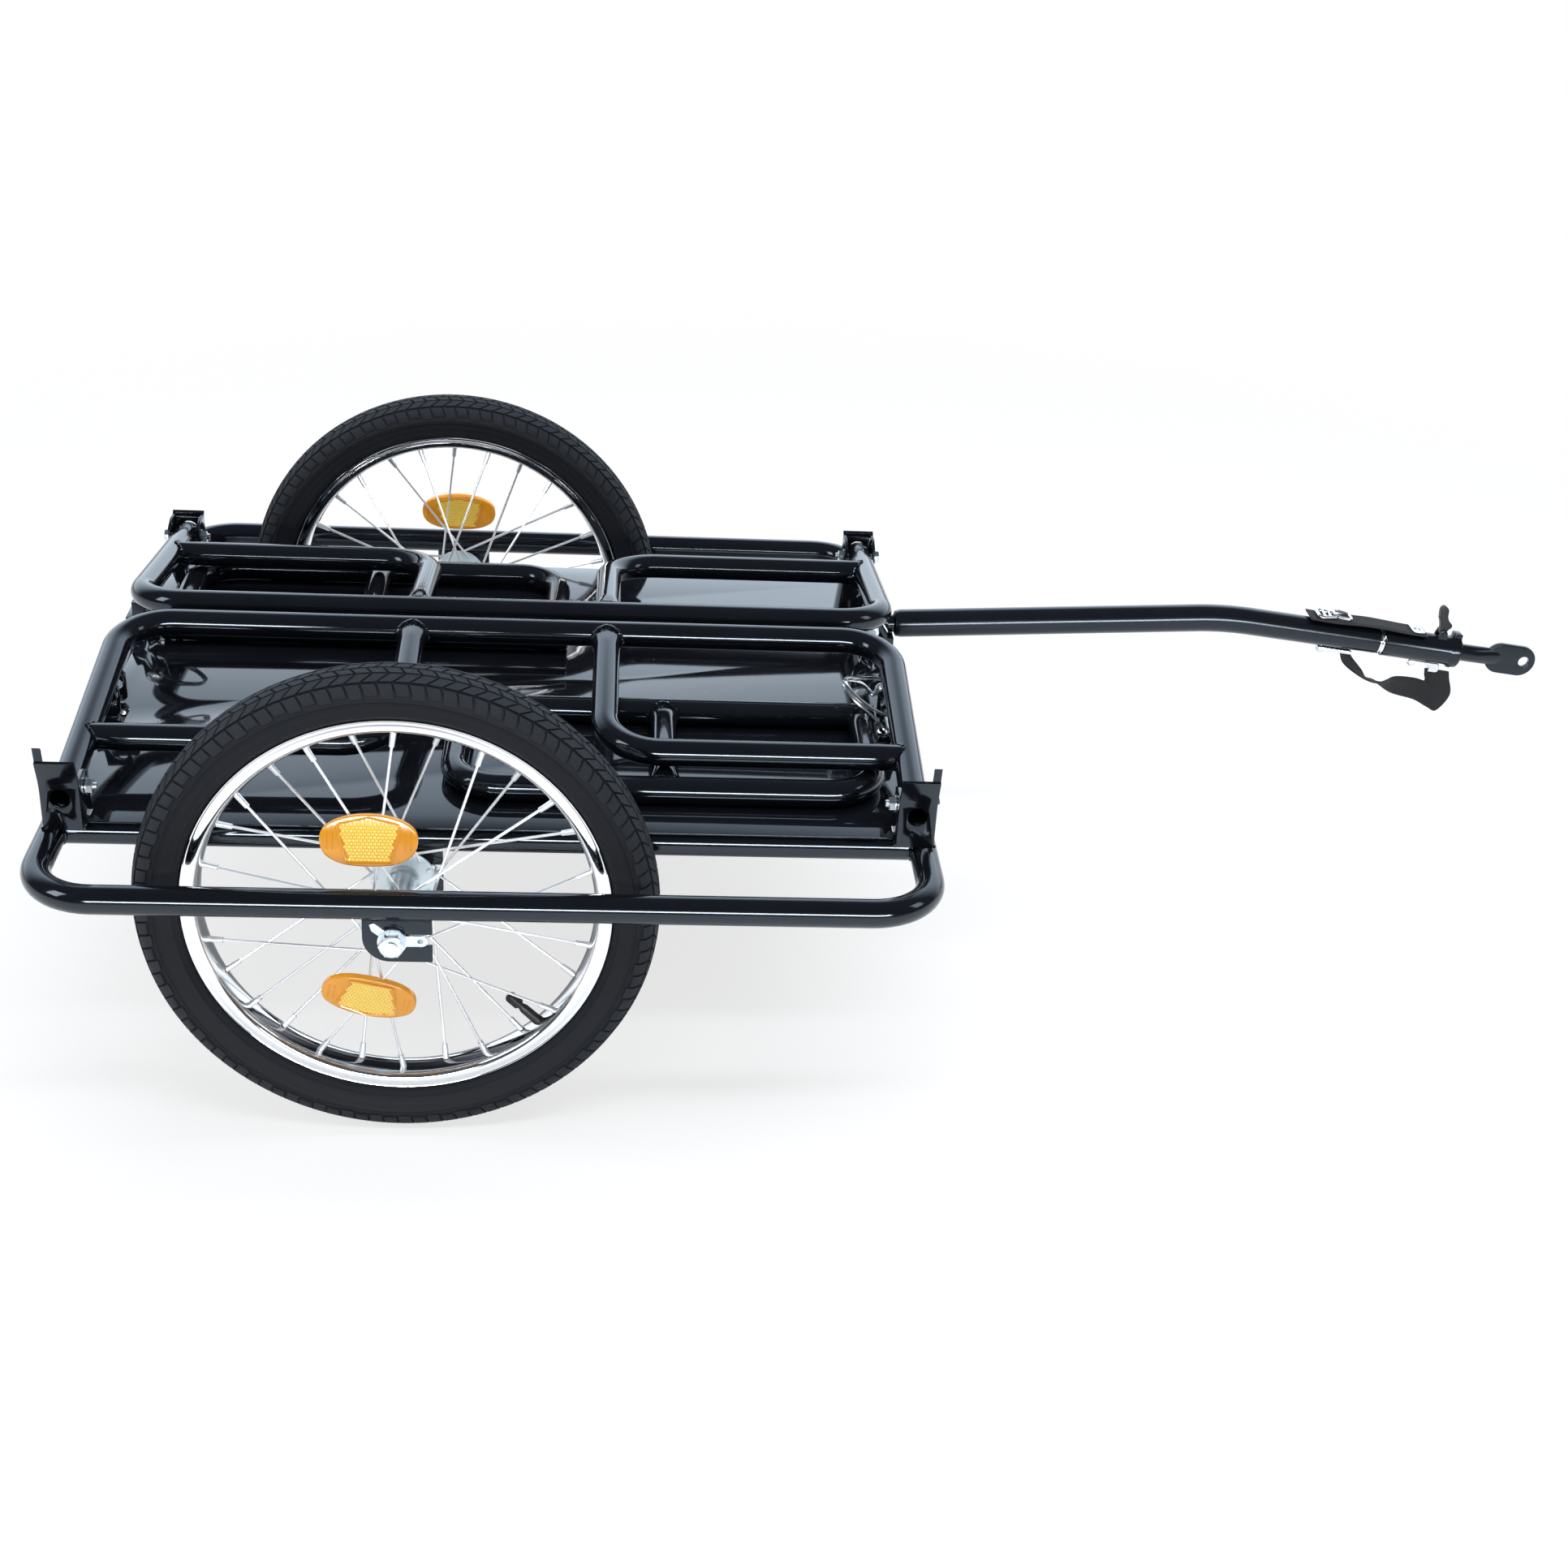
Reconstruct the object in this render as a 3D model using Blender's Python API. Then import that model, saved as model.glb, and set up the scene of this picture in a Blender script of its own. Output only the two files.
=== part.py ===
"""A folding bicycle trailer at its real size, in metres, with +Z up and +X towards the bicycle.

It stands on two 16 inch wheels. A round tube frame goes round both wheels and carries a sheet
steel deck. Two side panels are hinged on the deck's long sides and lie folded over it, with the
two loose end gates stowed flat beneath them. A bent drawbar with a swivelling tongue is pinned
to the front. +Y is the trailer's left side.

Every piece is drawn in the axle frame: its origin is the middle of the wheel axis. The empty
called trailer moves that frame so that the world origin is the middle of the ground it covers.
"""

import math

import bmesh
import bpy
from mathutils import Matrix, Vector

# Clearances
GAP = 0.0003  # between pieces that touch
RUNNING_GAP = 0.0004  # round a pin that turns in its hole

# Wheels, 16 x 1.75 inch on a 305 mm bead seat
BEAD_SEAT_R = 0.1525
TYRE_SECTION = 0.0445  # height above the bead seat
TYRE_WIDTH_SHARE = 0.5056  # half the tyre's width, as a share of its height
TYRE_WALL = 0.0035
TUBE_WALL = 0.0015
RIM_FLANGE_HEIGHT = 0.008  # above the bead seat
RIM_HALF_WIDTH = 0.0135
RIM_WALL = 0.0018
RIM_WELL_DEPTH = 0.005  # below the bead seat
HUB_FLANGE_R = 0.025
HUB_FLANGE_HALF_SPACING = 0.035
HUB_FLANGE_THICK = 0.003
HUB_BARREL_R = 0.0105
HUB_END_R = 0.0128
HUB_HALF_LENGTH = 0.040
HUB_BORE_R = 0.007
AXLE_R = 0.00475
AXLE_LENGTH = 0.130
BALL_R = 0.0022
BALL_COUNT = 7
CONE_RACE_R = 0.0055
CONE_SHOULDER_R = 0.009
CUP_DEPTH = 0.0065
CAGE_R = 0.0086
CAGE_THICK = 0.0015
SPOKE_COUNT = 28
SPOKE_R = 0.001
SPOKE_CIRCLE_R = 0.0215
SPOKE_CROSSES = 2
SPOKE_STAGGER = 0.003  # from the rim's middle, towards the spoke's own flange
NIPPLE_R = 0.002
NIPPLE_LENGTH = 0.012
NIPPLE_TILT = 0.27  # how far a leaning nipple's edge stands out, as a share of its radius
VALVE_R = 0.004
VALVE_BORE_R = 0.001
VALVE_REACH_R = 0.115  # radius at which the valve cap ends
VALVE_ANGLE = math.radians(-45)
REFLECTOR_LENGTH = 0.072
REFLECTOR_HEIGHT = 0.040
REFLECTOR_THICK = 0.0065
REFLECTOR_R = 0.071
REFLECTOR_STAND = 0.025  # from the wheel's middle plane
REFLECTOR_LEAN = math.radians(13)
REFLECTOR_PLACES = {  # how far round the wheel, and how far from level
    "right": {
        "upper": (math.radians(104.5), 0.0),
        "lower": (math.radians(252), math.radians(12)),
    },
    "left": {
        "upper": (math.radians(89), 0.0),
        "lower": (math.radians(269), 0.0),
    },
}
AXLE_NUT_R = 0.0085
AXLE_NUT_LENGTH = 0.008
AXLE_WASHER_R = 0.010
AXLE_WASHER_THICK = 0.0016

# Tube frame
TUBE_R = 0.011
TUBE_BORE_R = 0.0095
FRAME_Z = 0.0295  # height of the frame tubes above the axle
FRAME_REAR_X = -0.264
FRAME_FRONT_X = 0.401
OUTER_RAIL_Y = 0.352
DECK_RAIL_Y = 0.250
FRAME_BEND_R = 0.048
VENT_R = 0.002
WELD_R = 0.0100  # a welded bar's end, inside the other tube's wall
WELD_REACH = 0.0118
WELD_TAPER = 0.0015

# Deck
DECK_THICK = 0.0012
DECK_HALF_WIDTH = 0.260
DECK_END_LAP = 0.002  # distance from a cross tube's axis to the deck's end

# Dropouts, the slotted plates that hold the axles
DROPOUT_THICK = 0.004
DROPOUT_BACK = 0.022
DROPOUT_FRONT = 0.029
DROPOUT_DROP = 0.0185
DROPOUT_CORNER_R = 0.020
DROPOUT_GAP = 0.00045

# Side panels
HINGE_Z = 0.067
REAR_BRACKET_INSET = 0.013  # from the cross tube's axis to the corner bracket's middle
FRONT_BRACKET_INSET = 0.009
PANEL_HEIGHT = 0.232  # hinge axis to the top rail's axis
PANEL_FOOT = 0.013  # hinge axis to the leg's lower end
PANEL_BEND_R = 0.042
PANEL_TILT = math.radians(8.2)  # above level when folded
REAR_BRACE_HEIGHT = 0.065
REAR_BRACE_X = -0.012
FRONT_BRACE_HEIGHT = 0.061
FRONT_BRACE_X = 0.151
BRACE_BEND_R = 0.045

# Corner brackets that the side panels hinge in
CORNER_WALL = 0.0025
CORNER_CHANNEL = 0.024
CORNER_INNER_REACH = 0.010  # from the hinge axis towards the deck
CORNER_OUTER_REACH = 0.019  # from the hinge axis to the inside of the web
CORNER_CHEEK_TOP = 0.016  # above the hinge axis
CORNER_LIP_TOP = 0.034
CORNER_LIP_FLARE = 0.007
CORNER_LEFT_LIP_TOP = 0.018  # the left pair has a low lip and no horn
CORNER_LEFT_LIP_FLARE = 0.002
CORNER_HORN_TOP = 0.046
CORNER_HORN_WIDTH = 0.006
CORNER_WINDOW_R = 0.008
CORNER_SMALL_HOLE_R = 0.0025
HINGE_BOLT_R = 0.003
HINGE_NUT_R = 0.0058
HINGE_NUT_LENGTH = 0.005
HINGE_HEAD_THICK = 0.004

# End brackets that the gates and the drawbar lock into
END_BRACKET_Y = 0.082
END_WALL = 0.0025
END_CHANNEL = 0.024
END_OUT_REACH = 0.007  # beyond the cross tube's axis
END_STEP = 0.006
END_STEP_Z = 0.063
END_IN_REACH = 0.021
END_TOP_Z = 0.0775
END_BOTTOM_Z = 0.029
END_SLIT_Z = 0.0485
END_SLIT_HEIGHT = 0.002
END_SLIT_DEPTH = 0.012
END_CORNER = 0.003
END_LOW_HOLE_Z = 0.0385
END_LOW_HOLE_R = 0.003

# Lock pins and their wire bails
LOCK_PIN_R = 0.004
LOCK_PIN_INSET = 0.014  # from the cross tube's axis towards the deck
LOCK_PIN_Z = 0.065
LOCK_PIN_LENGTH = 0.072
LOCK_PIN_HEAD_R = 0.0065
LOCK_PIN_HEAD_THICK = 0.005
BAIL_WIRE_R = 0.0011
BAIL_TILT = math.radians(30)
BAIL_ARCH = 0.036
BAIL_HALF_GAP = 0.0026  # half the distance between the arch's two wires
BAIL_PIVOT_OFFSET = 0.0045

# Gates, stowed flat on the deck
GATE_LENGTH = 0.333
GATE_DEPTH = 0.139
GATE_BEND_R = 0.038
GATE_BAR_Y = 0.072
GATE_CLEARANCE = 0.003  # between a gate and its end bracket
DECK_CENTRE_X = (FRAME_REAR_X + FRAME_FRONT_X) / 2

# Drawbar, its swivel and its tongue
DRAWBAR_R = 0.0125
DRAWBAR_BORE_R = 0.0105
DRAWBAR_START_Z = 0.0719
DRAWBAR_BEND_X = 0.710
DRAWBAR_BEND_Z = 0.087
DRAWBAR_BEND_R = 0.300
DRAWBAR_DROP = math.radians(7.0)
SPIGOT_R = 0.008
SPIGOT_BORE_R = 0.0055
SPIGOT_LENGTH = 0.030
TUBE_END_REACH = 0.147  # from the drawbar's bend to the end of its tube
SWIVEL_RING_LENGTH = 0.005
SWIVEL_RING_R = 0.0130
SLEEVE_R = 0.0135
SLEEVE_LENGTH = 0.073
SLEEVE_COLLAR_R = 0.0150
SLEEVE_COLLAR_LENGTH = 0.008
SLEEVE_SPIGOT_LENGTH = 0.020
ROD_R = 0.008
ROD_REACH = 0.030  # from the sleeve to the tongue plate
TONGUE_LENGTH = 0.047
TONGUE_HEIGHT = 0.029
TONGUE_THICK = 0.005
TONGUE_HOLE_R = 0.005
TONGUE_HOLE_INSET = 0.011
DRAWBAR_BOLT_R = 0.004
DRAWBAR_NUT_LENGTH = 0.006
SMALL_BOLT_R = 0.002
SMALL_BOLT_HEAD_R = 0.004
SMALL_BOLT_HEAD = 0.003

# Lever on the sleeve
LEVER_THICK = 0.007
LEVER_HEIGHT = 0.026
LEVER_PIN_R = 0.0016
EAR_THICK = 0.0025
EAR_HEIGHT = 0.006
LEVER_STATION = 0.054  # along the sleeve

# Straps
STRAP_WIDTH = 0.024
STRAP_THICK = 0.0016
BUCKLE_WIRE_R = 0.0018
REAR_BOLT_DEPTH = 0.004
REAR_CLIP = (-0.049, -0.053, -0.020, 0.0038, 0.010)  # bolt, back, front, height and width
FRONT_CLIP = (0.0396, 0.036, 0.067, 0.009, 0.006)
UPPER_STRAP_RUN = (  # reach from the end of the drawbar's tube, and height above where it lies
    (-0.069, 0.0005),
    (-0.047, 0.0),
    (-0.027, 0.0010),
    (-0.009, 0.0015),
    (0.009, 0.0008),
    (0.025, 0.0),
    (0.043, 0.0),
)
LOWER_STRAP_RUN = (  # the two edges, as reach from the end of the tube, distance left, and depth
    ((-0.0300, -0.004, 0.0172), (-0.0195, 0.004, 0.0171)),
    ((-0.0261, -0.006, 0.0245), (-0.0131, 0.005, 0.0239)),
    ((-0.0152, -0.008, 0.0312), (-0.0018, 0.004, 0.0336)),
    ((-0.0015, -0.010, 0.0365), (0.0052, 0.008, 0.0418)),
    ((0.0128, -0.011, 0.0378), (0.0135, 0.009, 0.0438)),
    ((0.0261, -0.006, 0.0311), (0.0305, 0.002, 0.0507)),
    ((0.0462, -0.003, 0.0307), (0.0530, -0.001, 0.0530)),
    ((0.0565, -0.002, 0.0324), (0.0677, -0.002, 0.0583)),
    ((0.0580, -0.001, 0.0323), (0.0781, -0.002, 0.0605)),
    ((0.0583, 0.000, 0.0312), (0.0871, 0.000, 0.0438)),
    ((0.0564, 0.000, 0.0274), (0.0810, 0.000, 0.0274)),
    ((0.0553, 0.000, 0.0232), (0.0795, 0.000, 0.0233)),
)
BUCKLE_BACK = -0.061
BUCKLE_FRONT = -0.043
UPPER_CLIP_REACH = 0.035

# Facets
TUBE_SIDES = 10
BEND_STEPS = 4
WHEEL_STEPS = 28
TURNED_STEPS = 12
INNER_TUBE_STEPS = 16
INNER_TUBE_SIDES = 6
CUTTER_SIDES = 16

# Worked-out places
TYRE_R = BEAD_SEAT_R + TYRE_SECTION
RIM_FLANGE_R = BEAD_SEAT_R + RIM_FLANGE_HEIGHT
RIM_WELL_R = BEAD_SEAT_R - RIM_WELL_DEPTH
TYRE_HALF_WIDTH = TYRE_SECTION * TYRE_WIDTH_SHARE
PANEL_REAR_X = FRAME_REAR_X + REAR_BRACKET_INSET
PANEL_FRONT_X = FRAME_FRONT_X - FRONT_BRACKET_INSET
RIGHT_GATE_FRONT_X = FRAME_FRONT_X - END_IN_REACH - GATE_CLEARANCE - TUBE_R
RIGHT_GATE_REAR_X = RIGHT_GATE_FRONT_X - GATE_LENGTH
SLEEVE_START = TUBE_END_REACH + SWIVEL_RING_LENGTH + 2 * GAP
AXLE_Y = (OUTER_RAIL_Y + DECK_RAIL_Y) / 2
DECK_BOTTOM_Z = FRAME_Z + TUBE_R + GAP
DECK_TOP_Z = DECK_BOTTOM_Z + DECK_THICK
GATE_Z = DECK_TOP_Z + GAP + TUBE_R
TONGUE_END_REACH = (
    TUBE_END_REACH + SWIVEL_RING_LENGTH + SLEEVE_LENGTH + ROD_REACH + TONGUE_LENGTH + 2 * GAP
)
TONGUE_TIP_X = DRAWBAR_BEND_X + math.cos(DRAWBAR_DROP) * TONGUE_END_REACH
TRAILER_X = -(TONGUE_TIP_X + FRAME_REAR_X - TUBE_R) / 2


def clear_scene():
    for old in list(bpy.data.objects):
        bpy.data.objects.remove(old, do_unlink=True)


def material(name, colour, roughness, metallic):
    made = bpy.data.materials.new(name)
    made.use_nodes = True
    shader = made.node_tree.nodes["Principled BSDF"]
    shader.inputs["Base Color"].default_value = (*colour, 1.0)
    shader.inputs["Roughness"].default_value = roughness
    shader.inputs["Metallic"].default_value = metallic
    made.diffuse_color = (*colour, 1.0)
    return made


def pivot(name, place, parent=None):
    """An empty whose place is given in the axle frame. Pieces under it keep axle frame coordinates."""
    empty = bpy.data.objects.new(name, None)
    empty["place"] = place
    bpy.context.scene.collection.objects.link(empty)
    if parent:
        empty.parent = parent
        empty.location = Vector(place) - Vector(parent["place"])
    return empty


def add(name, mesh, finish, body):
    """Makes an object from a mesh that is drawn in the axle frame, with its origin on the body's pivot."""
    mesh.transform(Matrix.Translation(-Vector(body["place"])))
    mesh.name = name
    mesh.shade_smooth()
    mesh.set_sharp_from_angle(angle=math.radians(35))
    mesh.materials.append(finish)
    piece = bpy.data.objects.new(name, mesh)
    bpy.context.scene.collection.objects.link(piece)
    piece.parent = body
    return piece


def carve(piece, cutter, operation="DIFFERENCE"):
    """Cuts the second mesh, drawn in the axle frame, from the piece, or joins it to the piece."""
    count = len(piece.modifiers) + 1
    cutter.transform(Matrix.Translation(-Vector(piece.parent["place"])))
    tool = bpy.data.objects.new(f"{piece.name}_tool_{count}", cutter)
    bpy.context.scene.collection.objects.link(tool)
    tool.parent = piece.parent
    tool.hide_render = True
    tool.display_type = "WIRE"
    change = piece.modifiers.new(f"shape_{count}", "BOOLEAN")
    change.operation = operation
    change.object = tool
    change.solver = "EXACT"
    change.use_self = False


def carved(mesh, cutters, body):
    """The mesh that is left when the cutters are taken from a mesh, all drawn in the axle frame."""
    blank = bpy.data.objects.new("blank", mesh)
    bpy.context.scene.collection.objects.link(blank)
    blank.parent = body
    mesh.transform(Matrix.Translation(-Vector(body["place"])))
    for cutter in cutters:
        carve(blank, cutter)
    bpy.context.view_layer.update()
    graph = bpy.context.evaluated_depsgraph_get()
    result = bpy.data.meshes.new_from_object(blank.evaluated_get(graph))
    result.transform(Matrix.Translation(Vector(body["place"])))
    for change in blank.modifiers:
        bpy.data.objects.remove(change.object, do_unlink=True)
    bpy.data.objects.remove(blank, do_unlink=True)
    return result


def mesh_from(points, faces):
    mesh = bpy.data.meshes.new("piece")
    mesh.from_pydata([tuple(point) for point in points], [], faces)
    edit = bmesh.new()
    edit.from_mesh(mesh)
    bmesh.ops.recalc_face_normals(edit, faces=edit.faces)
    edit.to_mesh(mesh)
    edit.free()
    return mesh


def joined(meshes):
    """One mesh that holds several separate closed solids."""
    edit = bmesh.new()
    for mesh in meshes:
        edit.from_mesh(mesh)
    whole = bpy.data.meshes.new("group")
    edit.to_mesh(whole)
    edit.free()
    return whole


def rounded(corners, radius, steps=BEND_STEPS, closed=False):
    """A path through the corners with each bend as an arc of the radius."""
    corners = [Vector(corner) for corner in corners]
    path = []
    for index, corner in enumerate(corners):
        if not closed and index in (0, len(corners) - 1):
            path.append(corner)
            continue
        back = (corners[index - 1] - corner).normalized()
        ahead = (corners[(index + 1) % len(corners)] - corner).normalized()
        half = back.angle(ahead) / 2
        centre = corner + (back + ahead).normalized() * radius / math.sin(half)
        start = corner + back * radius / math.tan(half)
        axis = back.cross(start - centre).normalized()
        turn = math.pi - 2 * half
        for step in range(steps + 1):
            path.append(centre + Matrix.Rotation(turn * step / steps, 3, axis) @ (start - centre))
    return path


def sideways(axis):
    """The most upright direction square to an axis, or +X for an upright axis."""
    guide = Vector((1, 0, 0)) if abs(axis.z) > 0.9 else Vector((0, 0, 1))
    return (guide - axis * guide.dot(axis)).normalized()


def tube(path, outer, inner=0.0, sides=TUBE_SIDES, closed=False):
    """A round tube along a path. A radius is one number, or one for each point of the path."""
    path = [Vector(point) for point in path]
    count = len(path)
    outers = outer if isinstance(outer, list) else [outer] * count
    inners = inner if isinstance(inner, list) else [inner] * count
    tangents = []
    for index in range(count):
        before = path[index - 1] if closed or index else path[index]
        after = path[(index + 1) % count] if closed or index < count - 1 else path[index]
        tangents.append((after - before).normalized())
    side = sideways(tangents[0])
    points = []
    for index in range(count):
        if index:
            side = tangents[index - 1].rotation_difference(tangents[index]) @ side
        side = (side - tangents[index] * side.dot(tangents[index])).normalized()
        third = tangents[index].cross(side)
        for radii in (outers, inners) if inners[0] else (outers,):
            for turn in range(sides):
                angle = 2 * math.pi * (turn + 0.5) / sides
                offset = side * math.cos(angle) + third * math.sin(angle)
                points.append(path[index] + offset * radii[index])
    layers = 2 if inners[0] else 1
    row = sides * layers
    faces = []
    for index in range(count if closed else count - 1):
        ahead = (index + 1) % count
        for layer in range(layers):
            for turn in range(sides):
                after = (turn + 1) % sides
                loop = [
                    index * row + layer * sides + turn,
                    index * row + layer * sides + after,
                    ahead * row + layer * sides + after,
                    ahead * row + layer * sides + turn,
                ]
                faces.append(loop if layer == 0 else loop[::-1])
    if not closed:
        for index in (0, count - 1):
            first = index * row
            if layers == 1:
                faces.append([first + turn for turn in range(sides)])
                continue
            for turn in range(sides):
                after = (turn + 1) % sides
                faces.append(
                    [first + turn, first + after, first + sides + after, first + sides + turn]
                )
    if closed and layers == 2:
        mesh = bpy.data.meshes.new("ring")
        mesh.from_pydata([tuple(point) for point in points], [], faces)
        return mesh
    return mesh_from(points, faces)


def welded(path):
    """A solid bar on a path between two tubes' axes, reduced at its ends so that it meets their walls."""
    first = (path[1] - path[0]).normalized()
    last = (path[-2] - path[-1]).normalized()
    stations = [path[0], path[0] + first * WELD_REACH, path[0] + first * (WELD_REACH + WELD_TAPER)]
    stations += path[1:-1]
    stations += [path[-1] + last * (WELD_REACH + WELD_TAPER), path[-1] + last * WELD_REACH, path[-1]]
    radii = [WELD_R, WELD_R] + [TUBE_R] * (len(path)) + [WELD_R, WELD_R]
    return tube(stations, radii)


def rod(start, end, radius, sides=TURNED_STEPS):
    return tube([start, end], radius, sides=sides)


def turned(profile, centre, axis, steps=TURNED_STEPS):
    """A closed outline of (distance along the axis, radius), turned about the axis through the centre."""
    axis = Vector(axis).normalized()
    side = sideways(axis)
    third = axis.cross(side)
    points = []
    for step in range(steps):
        angle = 2 * math.pi * step / steps
        out = side * math.cos(angle) + third * math.sin(angle)
        for along, radius in profile:
            points.append(Vector(centre) + axis * along + out * radius)
    size = len(profile)
    faces = []
    for step in range(steps):
        ahead = (step + 1) % steps
        for index in range(size):
            after = (index + 1) % size
            faces.append(
                [step * size + index, step * size + after, ahead * size + after, ahead * size + index]
            )
    return mesh_from(points, faces)


def round_over(radius, steps=TURNED_STEPS):
    """The radius of a faceted bore whose flats clear a round piece of this radius."""
    return (radius + GAP) / math.cos(math.pi / steps)


def spun(profile, centre, axis, steps=TURNED_STEPS):
    """A solid round piece from (distance along the axis, radius), with flat ends."""
    axis = Vector(axis).normalized()
    side = sideways(axis)
    third = axis.cross(side)
    points = []
    for along, radius in profile:
        for step in range(steps):
            angle = 2 * math.pi * (step + 0.5) / steps
            out = side * math.cos(angle) + third * math.sin(angle)
            points.append(Vector(centre) + axis * along + out * radius)
    faces = [list(range(steps)), list(range(len(points) - steps, len(points)))]
    for row in range(len(profile) - 1):
        for step in range(steps):
            after = (step + 1) % steps
            faces.append(
                [
                    row * steps + step,
                    row * steps + after,
                    (row + 1) * steps + after,
                    (row + 1) * steps + step,
                ]
            )
    return mesh_from(points, faces)


def slab(outline, origin, across, along, thickness):
    """A flat plate: its outline in the across and along directions, as thick on each side of the origin."""
    across = Vector(across).normalized()
    along = Vector(along).normalized()
    normal = across.cross(along)
    points = []
    for side in (-0.5, 0.5):
        for first, second in outline:
            place = Vector(origin) + across * first + along * second
            points.append(place + normal * side * thickness)
    size = len(outline)
    faces = [list(range(size)), list(range(size, 2 * size))]
    for index in range(size):
        after = (index + 1) % size
        faces.append([index, after, size + after, size + index])
    return mesh_from(points, faces)


def arc(centre, radius, start, end, steps):
    """Points of an arc in a flat outline, between two angles in degrees."""
    points = []
    for step in range(steps + 1):
        angle = math.radians(start + (end - start) * step / steps)
        points.append((centre[0] + radius * math.cos(angle), centre[1] + radius * math.sin(angle)))
    return points


def spoke_ends(side, index):
    """Where a spoke meets its flange and its rim. Even spokes run to the flange on the deck's side."""
    hub = Vector((0, side * AXLE_Y, 0))
    across = Vector((0, side, 0))
    flange = 1 if index % 2 else -1
    outward = 1 if (index // 2) % 2 else -1
    rim_angle = 2 * math.pi * index / SPOKE_COUNT
    hub_angle = rim_angle + outward * SPOKE_CROSSES * 4 * math.pi / SPOKE_COUNT
    stand = HUB_FLANGE_THICK / 2 + SPOKE_R / 2
    start = hub + across * flange * (HUB_FLANGE_HALF_SPACING + outward * flange * stand)
    start = start + Vector((math.cos(hub_angle), 0, math.sin(hub_angle))) * SPOKE_CIRCLE_R
    seat_r = RIM_WELL_R - GAP - NIPPLE_R * math.tan(math.pi / WHEEL_STEPS)
    end = hub + Vector((math.cos(rim_angle), 0, math.sin(rim_angle))) * seat_r
    end = end + across * flange * SPOKE_STAGGER
    return start, end, outward


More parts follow.
